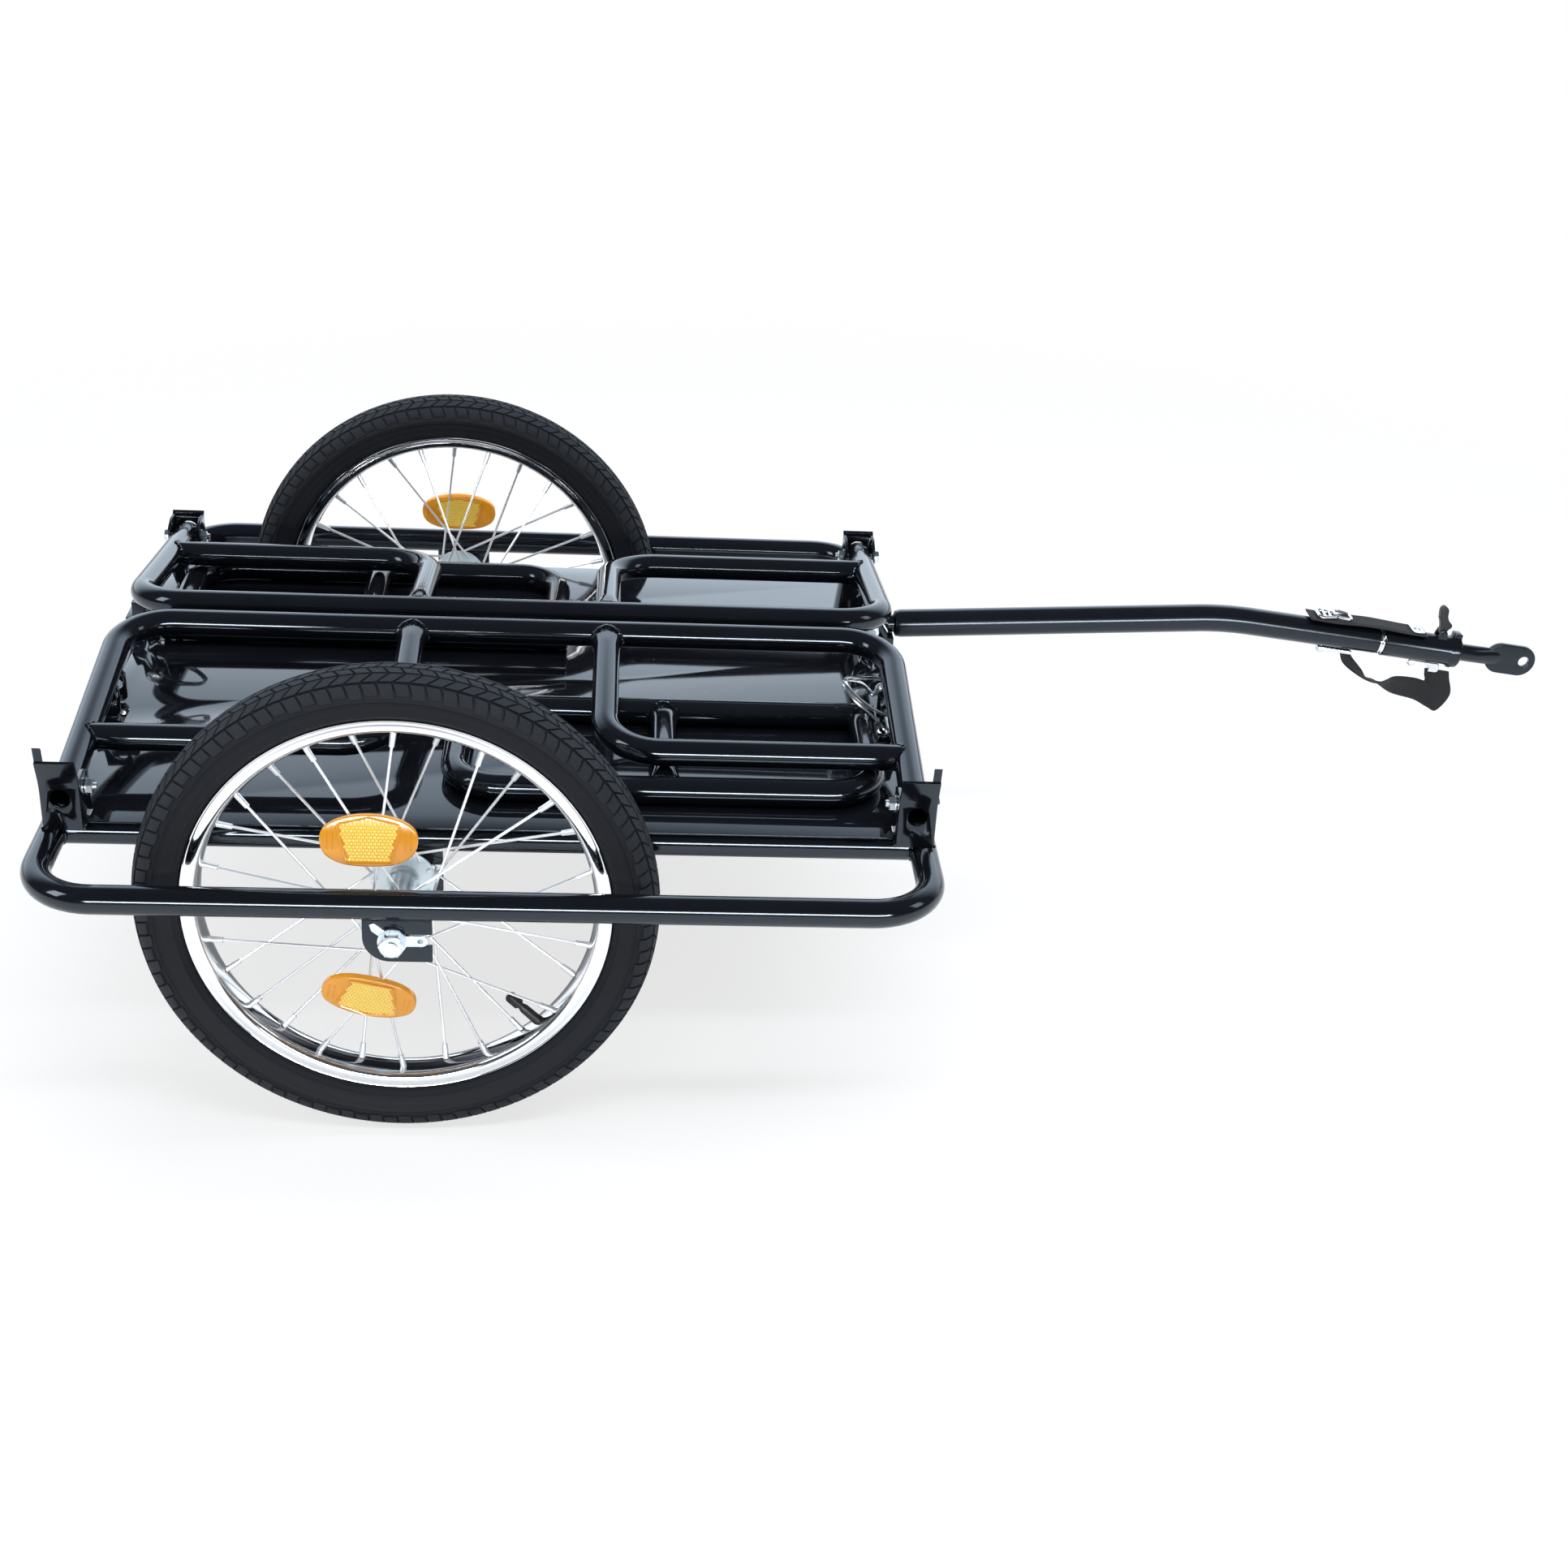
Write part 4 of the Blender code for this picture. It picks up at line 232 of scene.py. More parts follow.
def coated(name, dark, light, grain, depth, roughness, spread, patch, **fixed):
    """A Principled material on the surface group. fixed sets the shader's own sockets by name."""
    made = bpy.data.materials.new(name)
    made.use_nodes = True
    tree = made.node_tree
    sizes = dict(zip(GRAIN, (grain, depth, roughness, spread, patch)))
    group = node_in(tree, "ShaderNodeGroup", sizes, node_tree=SURFACE)
    tones = {"A": (*dark, 1.0), "B": (*light, 1.0), "Factor": group.outputs["Patches"]}
    tone = node_in(tree, "ShaderNodeMix", tones, data_type="RGBA")
    shader = tree.nodes["Principled BSDF"]
    tree.links.new(tone.outputs["Result"], shader.inputs["Base Color"])
    for label in ("Roughness", "Normal"):
        tree.links.new(group.outputs[label], shader.inputs[label])
    for label, value in spaced(fixed).items():
        shader.inputs[label].default_value = value
    return made


# A painted reflection colour: the black coats tint their reflections blue. This stands in for the
# cool light of the studio and is not a colour of the coat.
PAINTED_BLUE_REFLECTION = (0.74, 0.86, 1.0, 1.0)
BLACK_COAT = coated(
    "black_powder_coat", (0.0026, 0.0030, 0.0045), (0.0050, 0.0058, 0.0080),
    700.0, 0.00002, 0.075, 0.05, 14.0, Specular_IOR_Level=0.62, Specular_Tint=PAINTED_BLUE_REFLECTION,
)


def rounded(corners, radius, steps=BEND_STEPS, closed=False):
    """A path through the corners with each bend as an arc of the radius."""
    corners = [Vector(corner) for corner in corners]
    path = []
    for index, corner in enumerate(corners):
        if not closed and index in (0, len(corners) - 1):
            path.append(corner)
            continue
        back = (corners[index - 1] - corner).normalized()
        ahead = (corners[(index + 1) % len(corners)] - corner).normalized()
        half = back.angle(ahead) / 2
        centre = corner + (back + ahead).normalized() * radius / math.sin(half)
        start = corner + back * radius / math.tan(half) - centre
        axis = back.cross(start).normalized()
        for step in range(steps + 1):
            turn = Matrix.Rotation((math.pi - 2 * half) * step / steps, 3, axis)
            path.append(centre + turn @ start)
    return path


def mesh_of(points, faces, merge=0.0):
    mesh = bpy.data.meshes.new("piece")
    mesh.from_pydata([tuple(point) for point in points], [], faces)
    edit = bmesh.new()
    edit.from_mesh(mesh)
    if merge:
        bmesh.ops.remove_doubles(edit, verts=edit.verts, dist=merge)
        bmesh.ops.dissolve_degenerate(edit, edges=edit.edges, dist=merge)
    bmesh.ops.recalc_face_normals(edit, faces=edit.faces)
    edit.to_mesh(mesh)
    edit.free()
    return mesh


def skinned(rings, closed=False, shut=True, merge=0.0):
    """The skin from ring to ring. It closes on itself or is capped. A ring may be an open line."""
    size, count = len(rings[0]), len(rings)
    faces = []
    for index in range(count if closed else count - 1):
        low, high = size * index, size * ((index + 1) % count)
        for turn in range(size if shut else size - 1):
            after = (turn + 1) % size
            faces.append([low + turn, low + after, high + after, high + turn])
    if not closed:
        faces += [list(range(size)), list(range(size * (count - 1), size * count))]
    return mesh_of([point for ring in rings for point in ring], faces, merge)


def ring_of(centre, first, second, steps):
    """Points round a centre. first and second are its two half axes."""
    angles = [2 * math.pi * step / steps for step in range(steps)]
    return [centre + first * math.cos(angle) + second * math.sin(angle) for angle in angles]


def ways_of(path, closed=False):
    """The way that a path runs at each of its points."""
    last = len(path) - 1
    pairs = [(i - 1, (i + 1) % len(path)) for i in range(len(path))]
    if not closed:
        pairs[0], pairs[-1] = (0, 1), (last - 1, last)
    return [(path[after] - path[before]).normalized() for before, after in pairs]


def tube(path, radius, sides=TUBE_SIDES, closed=False, bore=0.0):
    """A round bar or tube along a path. The radius is one number, or one for each point."""
    radii = radius if isinstance(radius, list) else [radius] * len(path)
    ways = ways_of(path, closed)
    guide = X if abs(ways[0].z) > 0.9 else Z
    side = (guide - ways[0] * guide.dot(ways[0])).normalized()
    outer, inner = [], []
    for index, way in enumerate(ways):
        if index:
            side = ways[index - 1].rotation_difference(way) @ side
        side = (side - way * side.dot(way)).normalized()
        for rings, reach in ((outer, radii[index]), (inner, bore)):
            rings.append(ring_of(path[index], side * reach, way.cross(side) * reach, sides))
    return skinned(outer + inner[::-1], True) if bore else skinned(outer, closed)


def fused(*meshes):
    edit = bmesh.new()
    for mesh in meshes:
        edit.from_mesh(mesh)
    whole = bpy.data.meshes.new("piece")
    edit.to_mesh(whole)
    edit.free()
    return whole


def changed(mesh, kind, sockets=None, **settings):
    """The plain mesh that a modifier makes of a mesh, with its settings and its tree's sockets."""
    blank = linked("blank", mesh)
    change = blank.modifiers.new("change", kind)
    for label, value in settings.items():
        setattr(change, label, value)
    for label, value in (sockets or {}).items():
        change[label] = value
    bpy.context.view_layer.update()
    graph = bpy.context.evaluated_depsgraph_get()
    result = bpy.data.meshes.new_from_object(blank.evaluated_get(graph))
    bpy.data.objects.remove(blank, do_unlink=True)
    return result


def eased(mesh, width, steps=2):
    """The mesh with every sharp edge rounded off."""
    limit = {"limit_method": "ANGLE", "angle_limit": math.radians(38)}
    return changed(mesh, "BEVEL", width=width, segments=steps, **limit)


def plate(outline, origin, across, along, thickness, edge=0.0, steps=2):
    """A flat plate of an outline in two directions, with its sharp edges rounded by edge."""
    half = across.cross(along) * (thickness / 2)
    faces = [[origin + across * a + along * b + lift for a, b in outline] for lift in (-half, half)]
    return eased(skinned(faces), edge, steps) if edge else skinned(faces)


def arc(centre, radius, start, end, steps):
    angles = [math.radians(start + (end - start) * step / steps) for step in range(steps + 1)]
    return [(centre[0] + radius * math.cos(a), centre[1] + radius * math.sin(a)) for a in angles]


def weld(path, height, ripple, wave=0.0, pace=1.9, closed=False):
    """A weld bead along a path, with a ripple at every other step and a slower wave."""
    radii = [height + ripple * (i % 2) + wave * math.sin(i * pace) for i in range(len(path))]
    return tube(path, radii, sides=7, closed=closed)


def dress(name, parts, finish, node, body="chassis", more=(), second=None, crease=34):
    """Makes a piece of the parts, and of more of them in a second finish, in place of a node."""
    mesh = fused(*parts, *more)
    mesh.name = name
    mesh.materials.clear()
    mesh.materials.append(finish)
    if second:
        mesh.materials.append(second)
        for polygon in mesh.polygons[sum(len(part.polygons) for part in parts):]:
            polygon.material_index = 1
    mesh.shade_smooth()
    mesh.set_sharp_from_angle(angle=math.radians(crease))
    piece = linked(name, mesh)
    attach(piece, body)
    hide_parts(node)
    return piece


def dropout(rail_y):
    """The slotted plate under a rail, with the welds that hold it."""
    low, top, front, back = -0.0185, FRAME_Z - 0.0098, 0.029, -0.022
    outline = [(front, top), (back, top), *arc((-0.002, low + 0.020), 0.020, 180, 270, 12)]
    outline += [(front, low), (front, -SLOT_R), *arc((0, 0), SLOT_R, 270, 90, 14), (front, SLOT_R)]
    made = [plate(outline, at(0, rail_y, 0), X, Z, DROPOUT_THICK, 0.0005)]
    for y in (rail_y + 0.0024, rail_y - 0.0024):
        path = [at(-0.0215 + 0.0025 * step, y, FRAME_Z - 0.0106) for step in range(21)]
        made.append(weld(path, 0.0015, 0.0004, 0.0003, 2.1))
    return fused(*made)


rear_x = FRAME_REAR_X + 0.0005
corners = ((rear_x, -1), (FRAME_FRONT_X, -1), (FRAME_FRONT_X, 1), (rear_x, 1))
loop_path = rounded(
    [at(x, side * OUTER_RAIL_Y, FRAME_Z) for x, side in corners], FRAME_BEND_R, closed=True
)
sunk = TUBE_R - 0.0004
seam = weld(
    ring_of(at(FRAME_FRONT_X, SEAM_Y, FRAME_Z), X * sunk, Z * sunk, 40), 0.0008, 0.0002, closed=True
)
loop = [tube(loop_path, TUBE_R, closed=True), seam, dropout(OUTER_RAIL_Y), dropout(-OUTER_RAIL_Y)]
dress("chassis_tube", loop, BLACK_COAT, "chassis_loop")

# The deck rails. A straight tube down each side of the deck is notched at both ends, set between
# the loop's cross tubes and welded all round. Each carries the inner slotted plate of its wheel.
SIDES = ((1, "left"), (-1, "right"))
DECK_RAIL_Y = 0.250
BEAD_STEPS = 58


def bead(place, child, parent, child_r=TUBE_R):
    """A weld bead where a round bar along child meets a tube along parent at a place."""
    normal = child.cross(parent).normalized()
    parent = normal.cross(child) * (child_r + 0.0001)
    path = []
    for step in range(BEAD_STEPS):
        angle = 2 * math.pi * step / BEAD_STEPS
        off = child_r * math.sin(angle)
        out = math.sqrt(max(TUBE_R**2 - off**2, 0.0)) + 0.0004
        path.append(place + child * out + normal * off + parent * math.cos(angle))
    return weld(path, 0.0013, 0.00045, 0.0002, 1.7, closed=True)


for side, name in SIDES:
    rear = at(FRAME_REAR_X, side * DECK_RAIL_Y, FRAME_Z)
    front = at(FRAME_FRONT_X, side * DECK_RAIL_Y, FRAME_Z)
    rail = tube([rear + X * (TUBE_R * 0.55), front - X * (TUBE_R * 0.55)], TUBE_R)
    parts = [rail, bead(rear, X, Y), bead(front, -X, Y), dropout(side * DECK_RAIL_Y)]
    dress(f"{name}_rail", parts, BLACK_COAT, f"{name}_deck_rail")

# The deck. A sheet of 1.2 mm steel lies on the frame tubes, cut out round the brackets and tacked
# down from below. Its powder coat lies flatter than on the tubes and mirrors what is above it, with
# a few specks of dust.
DECK_Z = 0.0414
DECK_THICK = 0.0012
END_BRACKET_Y = 0.082
END_NOTCH = 0.0151
CORNER_Y = 0.2394
TACKS_X = (-0.20, -0.02, 0.16, 0.34)
TACKS_Y = (0.2596, -0.2596)
# The deck's reflections carry the same painted blue tint.
DECK_COAT = coated(
    "deck_gloss", (0.0030, 0.0036, 0.0055), (0.0060, 0.0070, 0.0100),
    320.0, 0.000012, 0.035, 0.05, 9.0, Specular_IOR_Level=0.62, Specular_Tint=PAINTED_BLUE_REFLECTION,
)
tree = DECK_COAT.node_tree
specks = {"Scale": 26.0, "Vector": node_in(tree, "ShaderNodeTexCoord").outputs["Object"]}
specks = node_in(tree, "ShaderNodeTexVoronoi", specks).outputs["Distance"]
colour = tree.nodes["Principled BSDF"].inputs["Base Color"]
tones = {"A": colour.links[0].from_socket, "B": (0.10, 0.11, 0.12, 1.0)}
tones["Factor"] = fade(tree, specks, 0.028, 0.014, curve="LINEAR")
tone = node_in(tree, "ShaderNodeMix", tones, data_type="RGBA")
tree.links.new(tone.outputs["Result"], colour)

quarters = []
for end_x, notch_x, corner_x in (
    (FRAME_REAR_X + 0.002, FRAME_REAR_X + 0.0216, FRAME_REAR_X + 0.0281),
    (FRAME_FRONT_X - 0.002, FRAME_FRONT_X - 0.0216, FRAME_FRONT_X - 0.0241),
):
    outer, inner = END_BRACKET_Y + END_NOTCH, END_BRACKET_Y - END_NOTCH
    quarter = [(corner_x, 0.260), (corner_x, CORNER_Y), (end_x, CORNER_Y), (end_x, outer)]
    quarter += [(notch_x, outer), (notch_x, inner), (end_x, inner)]
    quarters += [quarter, [(x, -y) for x, y in reversed(quarter)]]
outline = quarters[0] + quarters[1] + (quarters[2] + quarters[3])[::-1]
parts = [plate(outline, at(0, 0, DECK_Z), X, Y, DECK_THICK, 0.00045)]
for y in TACKS_Y:
    for x in TACKS_X:
        path = [at(x + 0.0035 * step, y, DECK_Z - 0.0010) for step in range(8)]
        parts.append(weld(path, 0.0008, 0.0004))
dress("deck", parts, DECK_COAT, "deck_sheet")

# The corner brackets. Each is pressed from 2.5 mm steel plate into a channel with a window and a
# flared lip, and the right ones have a short horn. They are welded onto the deck rails, and a side
# panel's leg turns in each.
PANEL_REAR_X = -0.251
PANEL_FRONT_X = 0.392
BRACKET_HALF = 0.0150
BRACKET_EDGE = 0.0005


def refined(node):
    """A CAD bracket's mesh with its flat faces made whole and its edges rounded."""
    edit = bmesh.new()
    edit.from_mesh(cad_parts[node].data)
    bmesh.ops.remove_doubles(edit, verts=edit.verts, dist=0.000004)
    flat = math.radians(1.0)
    bmesh.ops.dissolve_limit(edit, angle_limit=flat, verts=edit.verts, edges=edit.edges)
    mesh = bpy.data.meshes.new("piece")
    edit.to_mesh(mesh)
    edit.free()
    return eased(mesh, BRACKET_EDGE)


for side, name in SIDES:
    for x, end in ((PANEL_REAR_X, "rear"), (PANEL_FRONT_X, "front")):
        node = f"{name}_{end}_corner_bracket"
        parts = [refined(node)]
        for half in (-BRACKET_HALF, BRACKET_HALF):
            low = at(x + half, side * (DECK_RAIL_Y + 0.0045), FRAME_Z + 0.0110)
            high = at(x + half, side * (DECK_RAIL_Y + 0.0205), FRAME_Z + 0.0115)
            path = [low.lerp(high, step / 7) for step in range(8)]
            parts.append(weld(path, 0.0012, 0.000264, 0.000144))
        dress(f"{node}_steel", parts, BLACK_COAT, node)

# The end brackets. Four channels of folded plate are welded astride the cross tubes. A gate or the
# drawbar is held in each by a pin through its two cheeks.
for end, x, inward in (("front", FRAME_FRONT_X, -1), ("rear", FRAME_REAR_X, 1)):
    for side, name in SIDES:
        node = f"{end}_{name}_end_bracket"
        parts = [refined(node)]
        for half in (-BRACKET_HALF, BRACKET_HALF):
            y = side * END_BRACKET_Y + half
            over = arc((0, 0), TUBE_R + 0.0006, 8, 128, 12)
            path = [at(x + inward * a, y, FRAME_Z + b) for a, b in over]
            parts.append(weld(path, 0.0012, 0.0004))
        dress(f"{node}_steel", parts, BLACK_COAT, node)

# The hinge bolts. A zinc-plated M6 hexagon bolt with a washer goes through each bracket and leg,
# and its nut stands on the deck side with a little thread showing.
HINGE_Z = 0.067
ZINC = coated(
    "bright_zinc_plate", (0.62, 0.70, 0.76), (0.84, 0.89, 0.92),
    1600.0, 0.00002, 0.22, 0.16, 60.0, Metallic=1.0,
)
BOLT_FACE = 0.0148
BOLT_R = 0.003
BOLT_HEAD = {"Hexagon_Height": 0.0033, "Washer_Height": 0.0008, "Thread_Height": 0.003}
BOLT_NUT = {"Hexagon_Height": 0.0042, "Washer_Height": 0.0008, "Thread_Height": 0.008}
THREAD_PITCH = 0.001


def geometry_tree(name, sizes):
    """A Geometry Nodes tree with named sizes and a material, and its entry and exit."""
    entries = {"Geometry": "Geometry", **sizes, "Material": "Material"}
    return named_tree("GeometryNodeTree", name, entries, {"Geometry": "Geometry"})


def solid_in(tree, kind, **sizes):
    return node_in(tree, "GeometryNodeMesh" + kind, spaced(sizes)).outputs[0]


def moved(tree, shape, **change):
    return node_in(tree, "GeometryNodeTransform", {"Geometry": shape, **change}).outputs[0]


def lifted(tree, shape, height):
    return moved(tree, shape, Translation=node_in(tree, "ShaderNodeCombineXYZ", {"Z": height}))


def joined(tree, *shapes):
    together = tree.nodes.new("GeometryNodeJoinGeometry")
    for shape in shapes:
        tree.links.new(shape, together.inputs[0])
    return together


def ended(tree, size, leave, *shapes):
    """Joins the shapes, makes them real, and gives them the material at the tree's end."""
    real = node_in(tree, "GeometryNodeRealizeInstances", {0: joined(tree, *shapes)})
    painted = {"Geometry": real, "Material": size["Material"]}
    painted = node_in(tree, "GeometryNodeSetMaterial", painted)
    tree.links.new(painted.outputs[0], leave["Geometry"])
    return tree


def standing(tree, size, shape, marked=None):
    """Stands the shape on the tree's points, or the marked ones, with its Z along their way."""
    named = "GeometryNodeInputNamedAttribute"
    way = node_in(tree, named, {"Name": "way"}, data_type="FLOAT_VECTOR")
    turn = node_in(tree, "FunctionNodeAlignRotationToVector", {"Vector": way}, axis="Z")
    sockets = {"Points": size["Geometry"], "Instance": shape, "Rotation": turn}
    if marked:
        sockets["Selection"] = node_in(tree, named, {"Name": marked}, data_type="BOOLEAN")
    return node_in(tree, "GeometryNodeInstanceOnPoints", sockets).outputs[0]


def spots(places, ways, edges=(), **marks):
    """Bare points. Each has the way that what stands on it faces, and marks of what that is."""
    mesh = bpy.data.meshes.new("spots")
    mesh.from_pydata([tuple(place) for place in places], edges, [])
    facing = mesh.attributes.new("way", "FLOAT_VECTOR", "POINT")
    facing.data.foreach_set("vector", [part for way in ways for part in way])
    for label, values in marks.items():
        mesh.attributes.new(label, "BOOLEAN", "POINT").data.foreach_set("value", values)
    return mesh


def grown(mesh, tree, material, **sizes):
    """The plain mesh that a Geometry Nodes tree makes of a mesh."""
    values = {"Material": material, **spaced(sizes)}
    sockets = {
        socket.identifier: values[socket.name] for socket in tree.interface.items_tree
        if socket.in_out == "INPUT" and socket.name in values
    }
    return changed(mesh, "NODES", sockets, node_group=tree)


def hexagon_head_tree():
    """A hexagon head or nut on its washer, with its top edge chamfered and a threaded end above."""
    tree, size, leave = geometry_tree(
        "hexagon_fastener",
        {
            "Hexagon Radius": 0.0058, "Hexagon Height": 0.004, "Washer Radius": 0.0068,
            "Washer Height": 0.0009, "Thread Radius": 0.003, "Thread Height": 0.008,
        },
    )
    r, height, washer_height, thread_height = (
        size[label] for label in
        ("Hexagon Radius", "Hexagon Height", "Washer Height", "Thread Height")
    )

    def part(value, share):
        return math_in(tree, "MULTIPLY", value, share)

    washer = solid_in(
        tree, "Cylinder", Vertices=32, Radius=size["Washer Radius"], Depth=washer_height
    )
    hexagon = solid_in(tree, "Cylinder", Vertices=6, Radius=r, Depth=height)
    crown = solid_in(
        tree, "Cone", Vertices=24, Radius_Top=part(r, 0.80), Radius_Bottom=part(r, 0.93),
        Depth=part(height, 0.12),
    )
    bar = solid_in(
        tree, "Cylinder", Vertices=24, Side_Segments=32, Radius=size["Thread Radius"],
        Depth=thread_height,
    )
    place = tree.nodes.new("GeometryNodeInputPosition")
    x, y, z = node_in(tree, "ShaderNodeSeparateXYZ", {0: place}).outputs
    ridge = part(math_in(tree, "SINE", part(z, 2 * math.pi / THREAD_PITCH)), 0.04)
    push = {0: node_in(tree, "ShaderNodeCombineXYZ", {"X": x, "Y": y}), "Scale": ridge}
    push = node_in(tree, "ShaderNodeVectorMath", push, operation="SCALE")
    thread = node_in(tree, "GeometryNodeSetPosition", {"Geometry": bar, "Offset": push}).outputs[0]
    shapes = [
        lifted(tree, washer, part(washer_height, 0.5)),
        lifted(tree, hexagon, math_in(tree, "ADD", washer_height, part(height, 0.5))),
        lifted(tree, crown, math_in(tree, "ADD", washer_height, height)),
        lifted(tree, thread, part(thread_height, 0.5)),
    ]
    stood = standing(tree, size, joined(tree, *shapes))
    return ended(tree, size, leave, stood)


HEXAGON = hexagon_head_tree()


def fastener(place, way, **sizes):
    return grown(spots([place], [way]), HEXAGON, ZINC, **sizes)


for side, name in SIDES:
    for x, end, out in ((PANEL_REAR_X, "rear", -X), (PANEL_FRONT_X, "front", X)):
        centre = at(x, side * DECK_RAIL_Y, HINGE_Z)
        parts = [tube([centre - out * 0.0152, centre + out * 0.0152], BOLT_R)]
        parts.append(fastener(centre + out * BOLT_FACE, out, **BOLT_HEAD))
        parts.append(fastener(centre - out * BOLT_FACE, -out, **BOLT_NUT))
        dress(f"{name}_{end}_bolt", parts, ZINC, f"{name}_{end}_hinge_bolt")

# The side panels. One tube is bent to two legs and a top rail, and a bent brace with flattened ends
# is welded in at each end. The panels are folded in over the deck here, the right one on top.
PANEL_HEIGHT = 0.232
PANEL_FOOT = 0.013
PANEL_TILT = math.radians(8.2)
PANEL_BEND_R = 0.042
PANEL_BORE_R = 0.0095
BRACE_BEND_R = 0.045
PRESSED_STEPS = (0.006, 0.012, 0.018, 0.024)
AT_LEG, AT_RAIL = 0.98, 1.36
BEAD_R = TUBE_R * 0.96
BEAD_FLAT = 0.95


def pressed(mesh, end, axis, way, wide, flat=0.80):
    """The mesh made wide along way, and flat across it, towards the end where axis begins."""
    for vertex in mesh.vertices:
        depth = (vertex.co - end).dot(axis)
        off = vertex.co - end - axis * depth
        if off.length > 2 * TUBE_R:
            continue
        share = min(max(1 - depth / PRESSED_STEPS[-1], 0.0), 1.0)
        share *= share * (3 - 2 * share)
        across = way * off.dot(way)
        off += across * ((wide - 1) * share) + (off - across) * ((flat - 1) * share)
        vertex.co = end + axis * depth + off
    return mesh


def pinched(path, *ends):
    """A tube along the path. Each of its ends, a way and a width, was pressed before welding."""
    tips = [(path[i].copy(), (path[j] - path[i]).normalized()) for i, j in ((0, 1), (-1, -2))]
    (first, first_way), (last, last_way) = tips
    path[1:1] = [first + first_way * reach for reach in PRESSED_STEPS]
    path[-1:-1] = [last + last_way * reach for reach in reversed(PRESSED_STEPS)]
    mesh = tube(path, TUBE_R)
    for tip, end in zip(tips, ends):
        pressed(mesh, *tip, *end)
    return mesh


for side, name in SIDES:
    up = Vector((0, -side * math.cos(PANEL_TILT), math.sin(PANEL_TILT)))
    hinge = at(0, side * DECK_RAIL_Y, HINGE_Z)
    level = X.cross(up)

    def spot(x, height):
        return hinge + X * x + up * height

    corners = [spot(PANEL_REAR_X, -PANEL_FOOT), spot(PANEL_REAR_X, PANEL_HEIGHT)]
    corners += [spot(PANEL_FRONT_X, PANEL_HEIGHT), spot(PANEL_FRONT_X, -PANEL_FOOT)]
    parts = [tube(rounded(corners, PANEL_BEND_R), TUBE_R, bore=PANEL_BORE_R)]
    for leg_x, height, rail_x in ((PANEL_REAR_X, 0.065, -0.012), (PANEL_FRONT_X, 0.061, 0.151)):
        away = X if rail_x > leg_x else -X
        leg, rail = spot(leg_x, height), spot(rail_x, PANEL_HEIGHT)
        path = rounded([leg + away * 0.003, spot(rail_x, height), rail - up * 0.003], BRACE_BEND_R)
        parts.append(pinched(path, (level, AT_LEG), (X, AT_RAIL)))
        parts.append(pressed(bead(leg, away, up, BEAD_R), leg, away, level, AT_LEG))
        parts.append(pressed(bead(rail, -up, X, BEAD_R), rail, -up, X, AT_RAIL, BEAD_FLAT))
    node = f"{name}_side_panel"
    dress(f"{name}_panel_tubes", parts, BLACK_COAT, node, f"{name}_panel")

# The end gates. Each is a bent loop of tube welded to a longer straight bar, with one tube across
# its middle. They are stowed flat on the deck, turned half round from each other.
GATE_Z = 0.0533
GATE_LENGTH = 0.333
GATE_DEPTH = 0.139
GATE_BEND_R = 0.038
GATE_GAP = 0.004
GATE_BAR_Y = 0.072
GATE_RIGHT_X, GATE_LEFT_X = 0.033, 0.104
MIDDLE_WIDE = 1.32
for side, name in SIDES:

    def spot(reach, depth):
        x = GATE_LEFT_X - reach if side > 0 else GATE_RIGHT_X + reach
        return at(x, side * (GATE_BAR_Y + depth), GATE_Z)

    along, deep = X * -side, Y * side
    middle = GATE_LENGTH / 2
    bar = tube([spot(-TUBE_R, 0), spot(GATE_LENGTH + TUBE_R, 0)], TUBE_R)
    corners = [spot(0, GATE_GAP), spot(0, GATE_DEPTH)]
    corners += [spot(GATE_LENGTH, GATE_DEPTH), spot(GATE_LENGTH, GATE_GAP)]
    cross = [spot(middle, GATE_GAP), spot(middle, GATE_DEPTH - GATE_GAP)]
    parts = [eased(bar, 0.0008), pinched(rounded(corners, GATE_BEND_R), (along, 1.0), (along, 1.0))]
    parts.append(pinched(cross, (along, MIDDLE_WIDE), (along, MIDDLE_WIDE)))
    for reach, depth, child, wide in (
        (0, 0, deep, 1.0), (GATE_LENGTH, 0, deep, 1.0), (middle, 0, deep, MIDDLE_WIDE),
        (middle, GATE_DEPTH, -deep, MIDDLE_WIDE),
    ):
        foot = spot(reach, depth)
        parts.append(pressed(bead(foot, child, along, BEAD_R), foot, child, along, wide, BEAD_FLAT))
    dress(
        f"{name}_gate_tubes", parts, BLACK_COAT, f"{name}_gate",
        f"{name}_gate_body",
    )

# The lock pins and their bails. A turned pin goes through the right front bracket and the left rear
# one. A loop of spring wire pivots in its head and snaps over its tip, and both are bright zinc.
WIRE = coated(
    "bright_spring_wire", (0.70, 0.72, 0.75), (0.86, 0.87, 0.88),
    2400.0, 0.00001, 0.12, 0.10, 90.0, Metallic=1.0,
)
PIN_LENGTH = 0.072
PIN_R = 0.004
BAIL_TILT = math.radians(30)
BAIL_REACH = 0.036
BAIL_WIRE_R = 0.0015
BAIL_OFFSET = 0.0045
PIN_INSET, PIN_Y, PIN_Z = 0.014, 0.046, 0.065


def smooth(points, steps, closed=False):
    """A soft curve through the points, with a number of steps from each to the next."""
    points = [Vector(point) for point in points]
    count = len(points)
    path = []
    for index in range(count if closed else count - 1):
        near = [index + shift for shift in (-1, 0, 1, 2)]
        near = [i % count if closed else min(max(i, 0), count - 1) for i in near]
        a, b, c, d = (points[i] for i in near)
        for t in (step / steps for step in range(steps)):
            bend = (a * 2 - b * 5 + c * 4 - d) * (t**2 / 2) + (b * 3 - a - c * 3 + d) * (t**3 / 2)
            path.append(b + (c - a) * (t / 2) + bend)
    return path if closed else path + [points[-1]]


